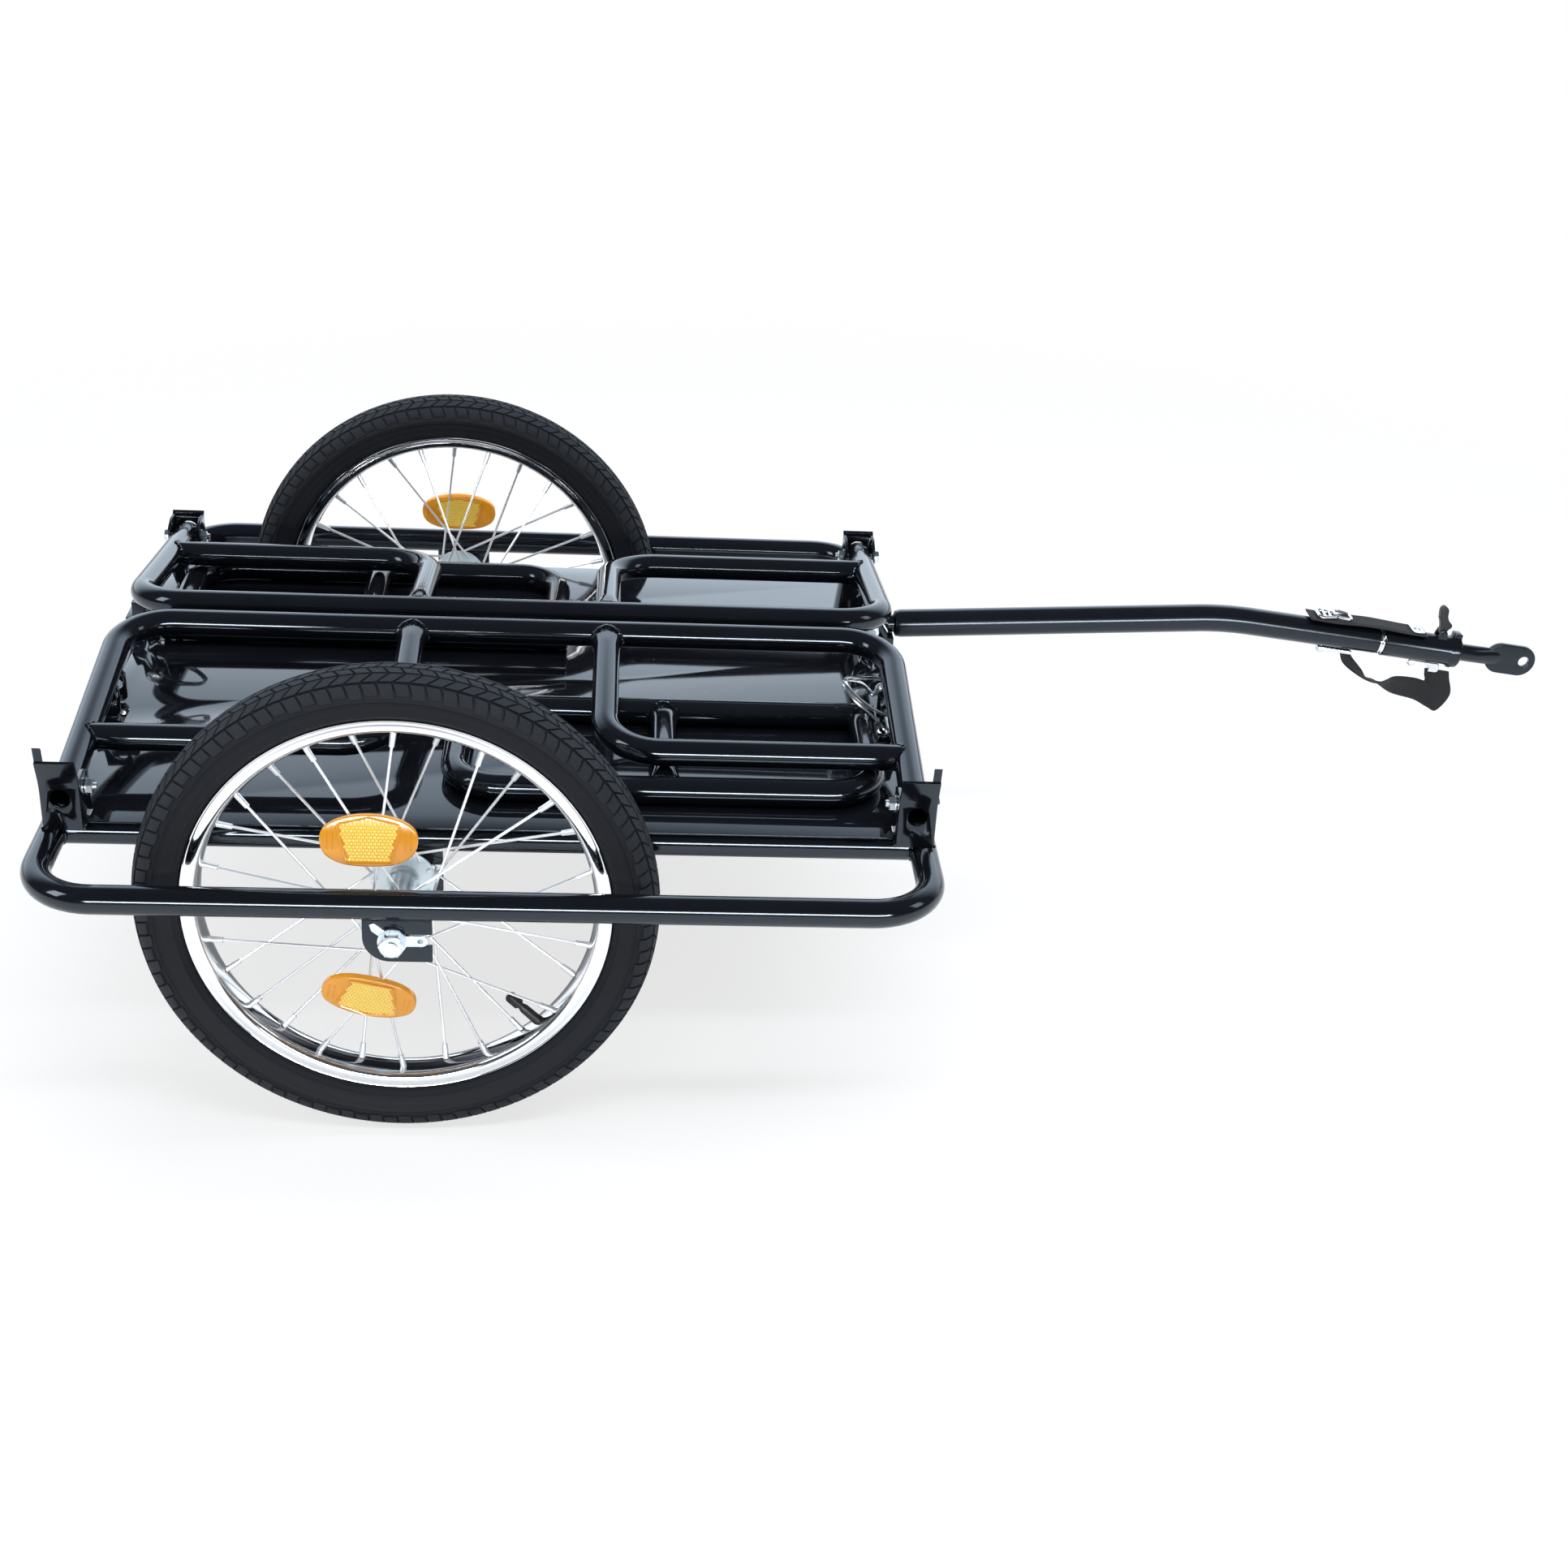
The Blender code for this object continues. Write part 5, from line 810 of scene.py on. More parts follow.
for end, x, inward, side in (("front", FRAME_FRONT_X, -1, -1), ("rear", FRAME_REAR_X, 1, 1)):
    along = Y * side
    head = at(x + inward * PIN_INSET, side * PIN_Y, PIN_Z)
    stations = [
        (-0.005, 0.0050), (-0.0045, 0.0060), (-0.0040, 0.0065), (-0.0008, 0.0065), (0.0, 0.0060),
        (0.0, PIN_R), (PIN_LENGTH - 0.0025, PIN_R), (PIN_LENGTH - 0.0008, PIN_R * 0.8),
        (PIN_LENGTH, PIN_R * 0.5),
    ]
    path = [head + along * (reach + 0.00001 * i) for i, (reach, _) in enumerate(stations)]
    pin = tube(path, [radius for _, radius in stations])
    dress(f"{end}_pin_steel", [pin], ZINC, f"{end}_lock_pin", f"{end}_pin")
    pivot = head - along * 0.0025 + X * (inward * BAIL_OFFSET)
    out = X * (inward * math.cos(BAIL_TILT)) + Z * math.sin(BAIL_TILT)
    lift = X * (-inward * math.sin(BAIL_TILT)) + Z * math.cos(BAIL_TILT)
    pin_out, pin_lift = -BAIL_OFFSET * math.cos(BAIL_TILT), BAIL_OFFSET * math.sin(BAIL_TILT)
    over_pin, over_head = 0.0059, 0.0076
    span = PIN_LENGTH + 0.0051
    arch = [  # out, along the pin, up, and half the space between the two strands
        (0.0, 0.0, pin_lift, over_head),
        (BAIL_REACH * 0.14, -0.001, pin_lift, over_head * 0.86),
        (BAIL_REACH * 0.50, 0.003, pin_lift * 0.6, 0.0024),
        (BAIL_REACH * 0.92, span * 0.20, 0.0, 0.0018),
        (BAIL_REACH, span * 0.40, 0.0, 0.0018),
        (BAIL_REACH * 0.74, span * 0.60, 0.0, 0.0018),
        (BAIL_REACH * 0.34, span * 0.75, pin_lift * 0.5, 0.0024),
        (0.0, span * 0.84, pin_lift, over_pin),
        (pin_out, span * 0.90, pin_lift, over_pin),
        (pin_out, span, pin_lift, over_pin * 0.9),
    ]
    strands = [
        [pivot + out * a + along * b + lift * (c + way * half) for a, b, c, half in arch]
        for way in (1, -1)
    ]
    path = smooth(strands[0] + strands[1][::-1], 5, closed=True)
    wire = tube(path, BAIL_WIRE_R, sides=10, closed=True)
    dress(f"{end}_bail_wire", [wire], WIRE, f"{end}_pin_bail", f"{end}_bail")

# The drawbar. A 25 mm tube is necked down to a spigot in the front left bracket, rises a little and
# bends down to the hitch. Its coat is a shade duller than the frame's, and a bolt holds it.
# The drawbar's reflections carry the same painted blue tint.
SATIN_COAT = coated(
    "satin_black_coat", (0.0030, 0.0036, 0.0055), (0.0062, 0.0072, 0.0100),
    900.0, 0.00002, 0.15, 0.08, 20.0, Specular_IOR_Level=0.5, Specular_Tint=PAINTED_BLUE_REFLECTION,
)
DRAWBAR_R = 0.0125
DRAWBAR_Y = 0.082
DRAWBAR_DROP = math.radians(7.0)
DRAWBAR_BEND_R = 0.300
SPIGOT_R = 0.008
DRAWBAR_NUT = {
    "Hexagon_Radius": 0.0069, "Hexagon_Height": 0.0045, "Washer_Radius": 0.0069,
    "Washer_Height": 0.0008, "Thread_Radius": 0.004, "Thread_Height": 0.006,
}
TUBE_END = 0.147
LINE = Vector((math.cos(DRAWBAR_DROP), 0, -math.sin(DRAWBAR_DROP)))
LIFT = Vector((math.sin(DRAWBAR_DROP), 0, math.cos(DRAWBAR_DROP)))


def on_drawbar(reach, left=0.0, above=0.0):
    """A place by the drawbar's front stretch: how far from the bend, to the left, and above."""
    return at(0.710, DRAWBAR_Y, 0.087) + LINE * reach + Y * left + LIFT * above


start, bend = at(0.4083, DRAWBAR_Y, 0.0719), on_drawbar(0.0)
way = (bend - start).normalized()
path = [start - way * 0.030, start, start + way * 0.0015]
path += rounded([start + way * 0.006, bend, on_drawbar(TUBE_END)], DRAWBAR_BEND_R, 20)
radii = [SPIGOT_R, SPIGOT_R, DRAWBAR_R - 0.001] + [DRAWBAR_R] * (len(path) - 3)
dress("drawbar", [tube(path, radii, sides=32)], SATIN_COAT, "drawbar_tube")
pin_low, pin_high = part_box("drawbar_pin")
centre = (Vector(pin_low) + Vector(pin_high)) / 2
parts = [tube([centre - Y * 0.0149, centre + Y * 0.0149], DRAWBAR_NUT["Thread_Radius"])]
for way in (Y, -Y):
    parts.append(fastener(centre + way * BOLT_FACE, way, **DRAWBAR_NUT))
dress("drawbar_bolt", parts, ZINC, "drawbar_pin")

# The swivel. A chrome ring with two ridges closes the drawbar. A black sleeve with a collar holds
# the rod, which can turn in it, and a ribbed plastic lever on two ears nips the sleeve.
CHROME = coated(
    "polished_chrome", (0.74, 0.75, 0.77), (0.86, 0.87, 0.88),
    300.0, 0.000006, 0.045, 0.05, 30.0, Metallic=1.0,
)
PLASTIC = coated(
    "black_moulded_plastic", (0.0065, 0.0070, 0.0088), (0.0115, 0.0125, 0.0150),
    2200.0, 0.00005, 0.36, 0.14, 40.0, Specular_IOR_Level=0.4,
)
SLEEVE_R = 0.0135
SLEEVE_START = 0.1526
EAR_REACH = 0.054
LUG_REACH = 0.0690
SAME_PLACE = 0.0000005


def turned(outline, hub, axis, steps=64):
    """A body of revolution. The outline is (along, radius), and a ring if it misses the axis."""
    side = axis.orthogonal().normalized()
    third = axis.cross(side)
    solid = outline[0][1] == 0 and outline[-1][1] == 0
    profiles = []
    for way in ring_of(Vector((0, 0, 0)), side, third, steps):
        profiles.append([hub + axis * reach + way * radius for reach, radius in outline])
    return skinned(profiles, closed=True, shut=not solid, merge=SAME_PLACE)


def mm(*points):
    """Points that are given in millimetres."""
    return [tuple(value / 1000 for value in point) for point in points]


ridges = mm(
    (0, 10.6), (0, 12.2), (0.4, 12.8), (1.2, 13), (2, 12.7), (2.5, 12.1), (3, 12.7), (3.8, 13),
    (4.6, 12.8), (5, 12.2), (5, 10.6),
)
ring = turned(ridges, on_drawbar(TUBE_END + 0.0003), LINE)
dress("chrome_ring", [ring], CHROME, "swivel_ring")

outline = [(-0.020, 0.0082), (-0.020, 0.0100), (0.0, 0.0100), (0.0, 0.0130), (0.0006, SLEEVE_R)]
outline += [(0.062, SLEEVE_R), (0.0640, 0.0138), (0.0655, 0.0146), (0.0668, 0.0150)]
outline += [(0.0722, 0.0150), (0.0730, 0.0143), (0.0730, 0.0082)]
parts = [turned(outline, on_drawbar(SLEEVE_START), LINE)]
ear = [(-0.005, -0.0095), (0.005, -0.0095), (0.0042, -0.0022), *arc((0, 0), 0.0034, 0, 180, 10)]
ear += [(-0.0042, -0.0022)]
for way in (Y, -Y):
    foot = on_drawbar(SLEEVE_START + EAR_REACH, 0.0, SLEEVE_R + 0.0034) + way * 0.00515
    parts.append(plate(ear, foot, LINE, LIFT, 0.0024, 0.0004))
    head = [(0, 0), (0, 0.0024), (0.0006, 0.0020), (0.0009, 0)]
    parts.append(turned(head, foot + way * 0.0012, way, 20))
screw = on_drawbar(SLEEVE_START + 0.0695, 0.0, -0.0148)
parts.append(turned([(0, 0), (0, 0.0030), (0.0010, 0.0027), (0.0014, 0)], screw, -LIFT, 24))
lug = [(-0.0040, -0.0022), (0.0040, -0.0022), (0.0040, 0.0016), (0.0028, 0.0026)]
lug += [(-0.0028, 0.0026), (-0.0040, 0.0016)]
place = on_drawbar(SLEEVE_START + LUG_REACH, 0.0, 0.0160)
parts.append(plate(lug, place, LINE, LIFT, 0.0090, 0.0005))
screw = on_drawbar(SLEEVE_START + LUG_REACH, -0.0045, 0.0162)
parts.append(turned([(0, 0), (0, 0.0021), (0.0009, 0.0018), (0.0012, 0)], screw, -Y, 20))
dress("sleeve", parts, SATIN_COAT, "swivel_sleeve")

outline = mm(
    (-2.5, -2.5), (2.5, -2.5), (3.4, 3), (6, 6.2), (5.6, 9.2), (2.2, 11.8), (-0.5, 16.5),
    (-1.6, 22.5), (-4, 25), (-7, 24.8), (-8.6, 21.5), (-7.6, 15), (-5.6, 10), (-3.6, 4.5),
)
foot = on_drawbar(SLEEVE_START + EAR_REACH, 0.0, SLEEVE_R + 0.0036)
parts = [plate(smooth(outline, 3, closed=True), foot, LINE, LIFT, 0.0068, 0.0006, 3)]
for rib in range(6):
    place = foot + LIFT * (0.0130 + 0.0016 * rib) - LINE * (0.0069 + 0.00026 * rib)
    parts.append(tube([place - Y * 0.0028, place + Y * 0.0028], 0.0005, sides=8))
dress("thumb_lever", parts, PLASTIC, "clamp_lever", "lever")

# The tongue. A 16 mm rod that turns in the sleeve is pressed flat at its end and welded to a
# rounded plate with a hole for the bolt of the bicycle's hitch.
SLEEVE_LENGTH = 0.073
TONGUE_START = SLEEVE_START + SLEEVE_LENGTH + 0.030
TONGUE_LENGTH = 0.047
TONGUE_HALF = 0.0145
HITCH_HOLE_R = 0.005


def cut(mesh, cutter):
    """The mesh that is left when the cutter is taken from it."""
    tool = linked("tool", cutter)
    result = changed(mesh, "BOOLEAN", solver="EXACT", object=tool)
    bpy.data.objects.remove(tool, do_unlink=True)
    return result


outline = arc((TONGUE_LENGTH - TONGUE_HALF - 0.0002, 0), TONGUE_HALF, 90, -90, 24)
outline += arc((TONGUE_HALF * 0.9, 0), TONGUE_HALF, -90, -270, 24)
outline = [point for point in outline if point[0] > 0.0004]
hole = on_drawbar(TONGUE_START + TONGUE_LENGTH - 0.011)
drill = tube([hole - Y * 0.01, hole + Y * 0.01], HITCH_HOLE_R, sides=32)
eye = eased(cut(plate(outline, on_drawbar(TONGUE_START), LINE, LIFT, 0.005), drill), 0.0009, 3)
stations = (  # along, half the width, half the height
    (SLEEVE_START - 0.024, 0.008, 0.008), (SLEEVE_START + SLEEVE_LENGTH + 0.012, 0.008, 0.008),
    (TONGUE_START - 0.012, 0.0078, 0.0080), (TONGUE_START - 0.004, 0.0062, 0.0082),
    (TONGUE_START + 0.004, 0.0045, 0.0082), (TONGUE_START + 0.010, 0.0034, 0.0074),
    (TONGUE_START + 0.014, 0.0024, 0.0058),
)
rod = skinned([ring_of(on_drawbar(a), Y * wide, LIFT * tall, 28) for a, wide, tall in stations])
dress("tongue", [rod, eye], SATIN_COAT, "coupling_tongue", "tongue")

# The straps. Two lengths of 24 mm black webbing, woven in ribs and sewn along their edges, back up
# the hitch: one lies over the joint, and one hangs below it from a steel clip to another.
STRAP_WIDTH = 0.024
STRAP_THICK = 0.0016
STRAP_COLUMNS = 8
STITCH_SPACING = 0.0029
RIBS = 11
PICK = 0.0011


def parted(tree, layer):
    """Across and along, in the pattern of a UV map."""
    place = node_in(tree, "ShaderNodeUVMap", uv_map=layer)
    return node_in(tree, "ShaderNodeSeparateXYZ", {0: place}).outputs[:2]


def embossed(made, height, strength, distance):
    """Lays a raised pattern over a material's own grain."""
    tree = made.node_tree
    normal = tree.nodes["Principled BSDF"].inputs["Normal"]
    sizes = {"Strength": strength, "Distance": distance, "Height": height}
    bump = node_in(tree, "ShaderNodeBump", {**sizes, "Normal": normal.links[0].from_socket})
    tree.links.new(bump.outputs[0], normal)


def webbing_material():
    """Black webbing: ribs along the strap, picks across it, and a little fluff."""
    made = coated(
        "black_webbing", (0.0060, 0.0066, 0.0085), (0.0125, 0.0138, 0.0170),
        1800.0, 0.00002, 0.70, 0.14, 160.0, Sheen_Weight=0.10, Sheen_Roughness=0.4,
        Specular_IOR_Level=0.3,
    )
    tree = made.node_tree
    across, along = parted(tree, "strap")  # from 0 to 1, and in metres
    rib = math_in(tree, "SINE", math_in(tree, "MULTIPLY", across, 2 * math.pi * RIBS))
    shift = math_in(tree, "MULTIPLY", rib, 1.5)
    pick = math_in(tree, "MULTIPLY_ADD", along, 2 * math.pi / PICK, shift)
    weave = math_in(tree, "MULTIPLY_ADD", math_in(tree, "SINE", pick), 0.35, rib)
    embossed(made, weave, 0.9, 0.00022)
    return made


WEBBING = webbing_material()
THREAD = coated(
    "black_sewing_thread", (0.022, 0.022, 0.024), (0.035, 0.035, 0.037),
    3000.0, 0.00002, 0.55, 0.10, 200.0,
)


def strap(pairs):
    """A flat strap through pairs of edge points, with its UV map. Its rows, and its length too."""
    middles = [(first + second) / 2 for first, second in pairs]
    lengths = [0.0]
    for before, after in zip(middles, middles[1:]):
        lengths.append(lengths[-1] + (after - before).length)
    shares = [column / STRAP_COLUMNS for column in range(STRAP_COLUMNS + 1)]
    shares += [1 - share for share in shares]
    rows = []
    for (first, second), way in zip(pairs, ways_of(middles)):
        half = way.cross(second - first).normalized() * (STRAP_THICK / 2)
        rows.append([
            first.lerp(second, share)
            + half * (1 - 0.55 * abs(2 * share - 1) ** 8) * (1 if turn <= STRAP_COLUMNS else -1)
            for turn, share in enumerate(shares)
        ])
    mesh = skinned(rows)
    layer = mesh.uv_layers.new(name="strap")
    for loop in mesh.loops:
        row, turn = divmod(loop.vertex_index, len(shares))
        layer.data[loop.index].uv = (shares[turn], lengths[row])
    return mesh, rows, lengths[-1]


def stitch_tree():
    """Short threads that lie along the way of each point."""
    sizes = {"Stitch Length": 0.0022, "Thread Radius": 0.00028}
    tree, size, leave = geometry_tree("stitches", sizes)
    radius, length = size["Thread Radius"], size["Stitch Length"]
    thread = solid_in(tree, "Cylinder", Vertices=6, Radius=radius, Depth=length)
    return ended(tree, size, leave, standing(tree, size, thread))


STITCHES = stitch_tree()


def sewn(rows, share):
    """Two lines of stitches on the strap's upper face, a share of the width in from its edges."""
    places, ways = [], []
    for column in (share * STRAP_COLUMNS, (1 - share) * STRAP_COLUMNS):
        low = int(column)
        line = []
        for row in rows[1:-1]:
            above = row[low].lerp(row[low + 1], column - low)
            under = row[-1 - low].lerp(row[-2 - low], column - low)
            line.append(above + (above - under).normalized() * 0.00008)
        left = 0.0
        for start, end in zip(line, line[1:]):
            length = (end - start).length
            while left < length:
                places.append(start.lerp(end, left / length))
                ways.append((end - start).normalized())
                left += STITCH_SPACING
            left -= length
    return grown(spots(places, ways), STITCHES, THREAD)


UPPER_RUN = mm((-69, 0.5), (-47, 0), (-27, 1), (-9, 1.5), (9, 0.8), (25, 0), (43, 0))
# Along, to the left and below the drawbar's line, for the lower strap's two edges.
REAR_EDGE = mm(
    (-31, -3, 15), (-30, -4, 17.5), (-26.1, -6, 24.5), (-15.2, -8, 31.2), (-1.5, -10, 36.5),
    (12.8, -11, 37.8), (26.1, -6, 31.1), (46.2, -3, 30.7), (56.5, -2, 32.4), (58, -1, 32.3),
    (58.3, 0, 31.2), (56.4, 0, 27.4), (55.3, 0, 23.2), (54.8, 0, 20.8),
)
FRONT_EDGE = mm(
    (-21, 3, 15), (-19.5, 4, 17.4), (-13.1, 5, 23.9), (-1.8, 4, 33.6), (5.2, 8, 41.8),
    (13.5, 9, 43.8), (30.5, 2, 50.7), (53, -1, 53), (67.7, -2, 58.3), (78.1, -2, 60.5),
    (87.1, 0, 43.8), (81, 0, 27.4), (79.5, 0, 23.3), (78.5, 0, 20.8),
)
middle = smooth([on_drawbar(TUBE_END + along, 0.0, 0.0146 + up) for along, up in UPPER_RUN], 6)
upper_pairs = [(spot - Y * (STRAP_WIDTH / 2), spot + Y * (STRAP_WIDTH / 2)) for spot in middle]
lower_pairs = zip(*(
    smooth([on_drawbar(TUBE_END + along, left, -deep) for along, left, deep in edge], 5)
    for edge in (REAR_EDGE, FRONT_EDGE)
))
straps, lengths = [], []
for place, pairs, share in (("upper", upper_pairs, 0.11), ("lower", list(lower_pairs), 0.12)):
    mesh, rows, length = strap(pairs)
    straps.append(dress(
        f"{place}_webbing", [mesh], WEBBING, f"{place}_strap",
        more=[sewn(rows, share)], second=THREAD,
    ))
    lengths.append(length)

# The strap fittings. A ladder buckle of bright steel wire holds the upper strap's folded end, an
# eyelet plate pins its front, and a small steel clip is screwed on at each end of the lower strap.
STEEL = coated(
    "bright_pressed_steel", (0.58, 0.59, 0.61), (0.76, 0.77, 0.78),
    1400.0, 0.00002, 0.20, 0.14, 80.0, Metallic=1.0,
)
STRAP_TOP = SLEEVE_R + 0.0003 + STRAP_THICK
EYELET_REACH = TUBE_END + 0.035
parts = []
for corners, bend, steps, radius, sides in (
    (((-0.061, 0.009, 0.0021), (-0.043, 0.0042, 0.0021)), 0.003, 6, 0.0018, 12),
    (((-0.046, 0.0088, 0.0046), (-0.030, 0.0075, 0.0028)), 0.0055, 8, 0.0014, 10),
):
    path = []
    for (reach, wide, above), ways in zip(corners, ((-1, 1), (1, -1))):
        place = TUBE_END + reach, STRAP_TOP + above
        path += [on_drawbar(place[0], way * wide, place[1]) for way in ways]
    path = rounded(path, bend, steps, closed=True)
    parts.append(tube(path, radius, sides=sides, closed=True))
for reach, wide in ((-0.0555, 0.0078), (-0.0500, 0.0062)):
    ends = [on_drawbar(TUBE_END + reach, way * wide, STRAP_TOP + 0.0026) for way in (-1, 1)]
    parts.append(tube(ends, 0.0013, sides=10))
buckle = dress("ladder_buckle", parts, STEEL, "strap_buckle")


def round_cornered(long_half, high_half, radius):
    """The outline of a plate with round corners."""
    outline = []
    for a, b, start in ((1, 1, 90), (1, -1, 0), (-1, -1, -90), (-1, 1, -180)):
        centre = (a * (long_half - radius), b * (high_half - radius))
        outline += arc(centre, radius, start, start - 90, 5)
    return outline


outline = round_cornered(0.0060, 0.0090, 0.0025)
base = on_drawbar(EYELET_REACH, 0.0, STRAP_TOP + 0.0009)
rivet = [(0, 0), (0, 0.0034), (0.0008, 0.0032), (0.0012, 0.0024), (0.0013, 0)]
rivet = turned(rivet, on_drawbar(EYELET_REACH, 0.0, STRAP_TOP + 0.0014), LIFT, 28)
parts = [plate(outline, base, LINE, Y, 0.0012, 0.0004), rivet]
eyelet = dress("eyelet_plate", parts, STEEL, "upper_strap_clip")

SCREW_HEAD = [(0, 0), (0, 0.0040), (0.0014, 0.0038), (0.0026, 0.0028), (0.0029, 0)]
for place, face, bolt_reach, back, front, height, thick in (
    ("rear", DRAWBAR_R, -0.049, -0.053, -0.020, 0.0038, 0.010),
    ("front", SLEEVE_R, 0.0396, 0.036, 0.067, 0.009, 0.006),
):
    low = face + 0.0003
    long_half = (front - back) / 2
    middle = on_drawbar(TUBE_END + (back + front) / 2, 0.0, -(low + height / 2))
    outline = round_cornered(long_half, height / 2, min(height * 0.45, 0.003))
    clip = plate(outline, middle, LINE, LIFT, thick, 0.0008, 3)
    if place == "front":  # it is cut to an L, with its screw in the low end
        hollow = [(-long_half - 0.01, -0.02), (long_half - 0.012, -0.02)]
        hollow += [(long_half - 0.009, 0.0015), (-long_half - 0.01, 0.0015)]
        clip = eased(cut(clip, plate(hollow, middle, LINE, LIFT, 0.03)), 0.0003)
        height *= 0.35
    head = on_drawbar(TUBE_END + bolt_reach, 0.0, -(low + height - 0.0002))
    shank = [on_drawbar(TUBE_END + bolt_reach, 0.0, -(low + deep)) for deep in (-0.004, height)]
    parts = [clip, turned(SCREW_HEAD, head, -LIFT, 28), tube(shank, 0.002, sides=16)]
    dress(f"{place}_clip", parts, STEEL, f"lower_strap_{place}_clip")

# The wheels. Each has a chromed steel rim, a zinc-plated hub on loose balls and 28 crossed spokes
# of bright steel wire, which are bent at the hub and held in the rim by nipples.
FLANGE_ZINC = coated(
    "pale_flange_zinc", (0.60, 0.72, 0.78), (0.76, 0.86, 0.90),
    700.0, 0.00001, 0.34, 0.12, 60.0, Metallic=0.55,
)
SPOKE_STEEL = coated(
    "bright_spoke_steel", (0.84, 0.87, 0.90), (0.95, 0.96, 0.97),
    900.0, 0.00001, 0.28, 0.10, 45.0, Metallic=0.72,
)
AXLE_Y = 0.301
SPOKE_COUNT = 28
SPOKE_CIRCLE_R = 0.0215
SPOKE_END_R = 0.1472
SPOKE_BEND_R = 0.0022
FLANGE_REACH = 0.035
rim_half = mm(
    (0, 147.4), (5.2, 147.6), (9.2, 148.8), (11.8, 150), (13.1, 151.3), (13.8, 153), (14, 155),
    (13.8, 157), (13.3, 158.6), (13.4, 159.4), (13.8, 160), (13.7, 160.6), (13, 160.9),
    (12, 160.6), (11.7, 160), (11.7, 152.7), (5.3, 149.4),
)
barrel_half = mm(
    (0, 10.5), (26, 10.5), (28.5, 11.2), (30.5, 12.7), (39.5, 12.8), (40, 12.4), (40, 10.4),
    (33.5, 10.2), (33.5, 7),
)
flange_disc = mm(
    (-1.5, 12.6), (-1.5, 23.8), (-1, 24.8), (0, 25), (1, 24.8), (1.5, 23.8), (1.5, 19), (2.1, 16),
    (2.4, 12.6),
)


def round_axle(angle):
    return X * math.cos(angle) + Z * math.sin(angle)


def mirrored_back(half):
    return [(-reach, radius) for reach, radius in reversed(half)]


def spoke_tree():
    """Wire spokes along the edges, each with a head at its first point and a nipple at its last."""
    tree, size, leave = geometry_tree(
        "spokes",
        {
            "Spoke Radius": 0.0011, "Head Radius": 0.0020, "Nipple Radius": 0.0025,
            "Nipple Length": 0.012,
        },
    )
    line = node_in(tree, "GeometryNodeMeshToCurve", {"Mesh": size["Geometry"]})
    section = {"Resolution": 10, "Radius": size["Spoke Radius"]}
    section = node_in(tree, "GeometryNodeCurvePrimitiveCircle", section)
    wire = {"Curve": line, "Profile Curve": section, "Fill Caps": True}
    wire = node_in(tree, "GeometryNodeCurveToMesh", wire)
    ball = solid_in(tree, "UVSphere", Segments=12, Rings=6, Radius=size["Head Radius"])
    narrow = math_in(tree, "MULTIPLY", size["Nipple Radius"], 0.85)
    nipple = solid_in(
        tree, "Cone", Vertices=12, Radius_Top=size["Nipple Radius"], Radius_Bottom=narrow,
        Depth=size["Nipple Length"],
    )
    nipple = lifted(tree, nipple, math_in(tree, "MULTIPLY", size["Nipple Length"], -1.0))
    heads = standing(tree, size, moved(tree, ball, Scale=(1, 1, 0.55)), "head")
    return ended(tree, size, leave, wire.outputs[0], heads, standing(tree, size, nipple, "nipple"))


SPOKES = spoke_tree()
for side, name in SIDES:
    hub = at(0, side * AXLE_Y, 0)
    across = Y * side
    wheel = f"{name}_wheel"
    rim = turned(rim_half + mirrored_back(rim_half[1:]), hub, across, 128)
    dress(f"{name}_rim_band", [rim], CHROME, f"{name}_rim", wheel)
    barrel = turned(barrel_half + mirrored_back(barrel_half[1:]), hub, across)
    dress(f"{name}_hub", [barrel], ZINC, f"{name}_hub_shell", wheel)

    for flange, place in ((1, "outer"), (-1, "inner")):
        out = across * flange
        points, ways, edges, heads, nipples = [], [], [], [], []
        for index in range(1 if flange == 1 else 0, SPOKE_COUNT, 2):
            crossing = 1 if (index // 2) % 2 else -1
            rim_angle = 2 * math.pi * index / SPOKE_COUNT
            hub_angle = rim_angle + crossing * 8 * math.pi / SPOKE_COUNT
            hole = hub + out * FLANGE_REACH + round_axle(hub_angle) * SPOKE_CIRCLE_R
            end = hub + round_axle(rim_angle) * SPOKE_END_R + out * 0.003
            bent = out * (crossing * SPOKE_BEND_R)
            path = rounded([hole - bent, hole + bent, end], SPOKE_BEND_R, 4)
            first, last = len(points), len(path) - 1
            points += path
            ways += ways_of(path)
            edges += [(first + step, first + step + 1) for step in range(last)]
            heads += [step == 0 for step in range(last + 1)]
            nipples += [step == last for step in range(last + 1)]
        lines = spots(points, ways, edges, head=heads, nipple=nipples)
        dress(
            f"{name}_{place}_spoke_set", [turned(flange_disc, hub + out * FLANGE_REACH, out)],
            FLANGE_ZINC, f"{name}_{place}_spokes", wheel,
            more=[grown(lines, SPOKES, SPOKE_STEEL)], second=SPOKE_STEEL,
        )
    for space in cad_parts[f"{name}_bearings"].material_slots:
        space.material = STEEL

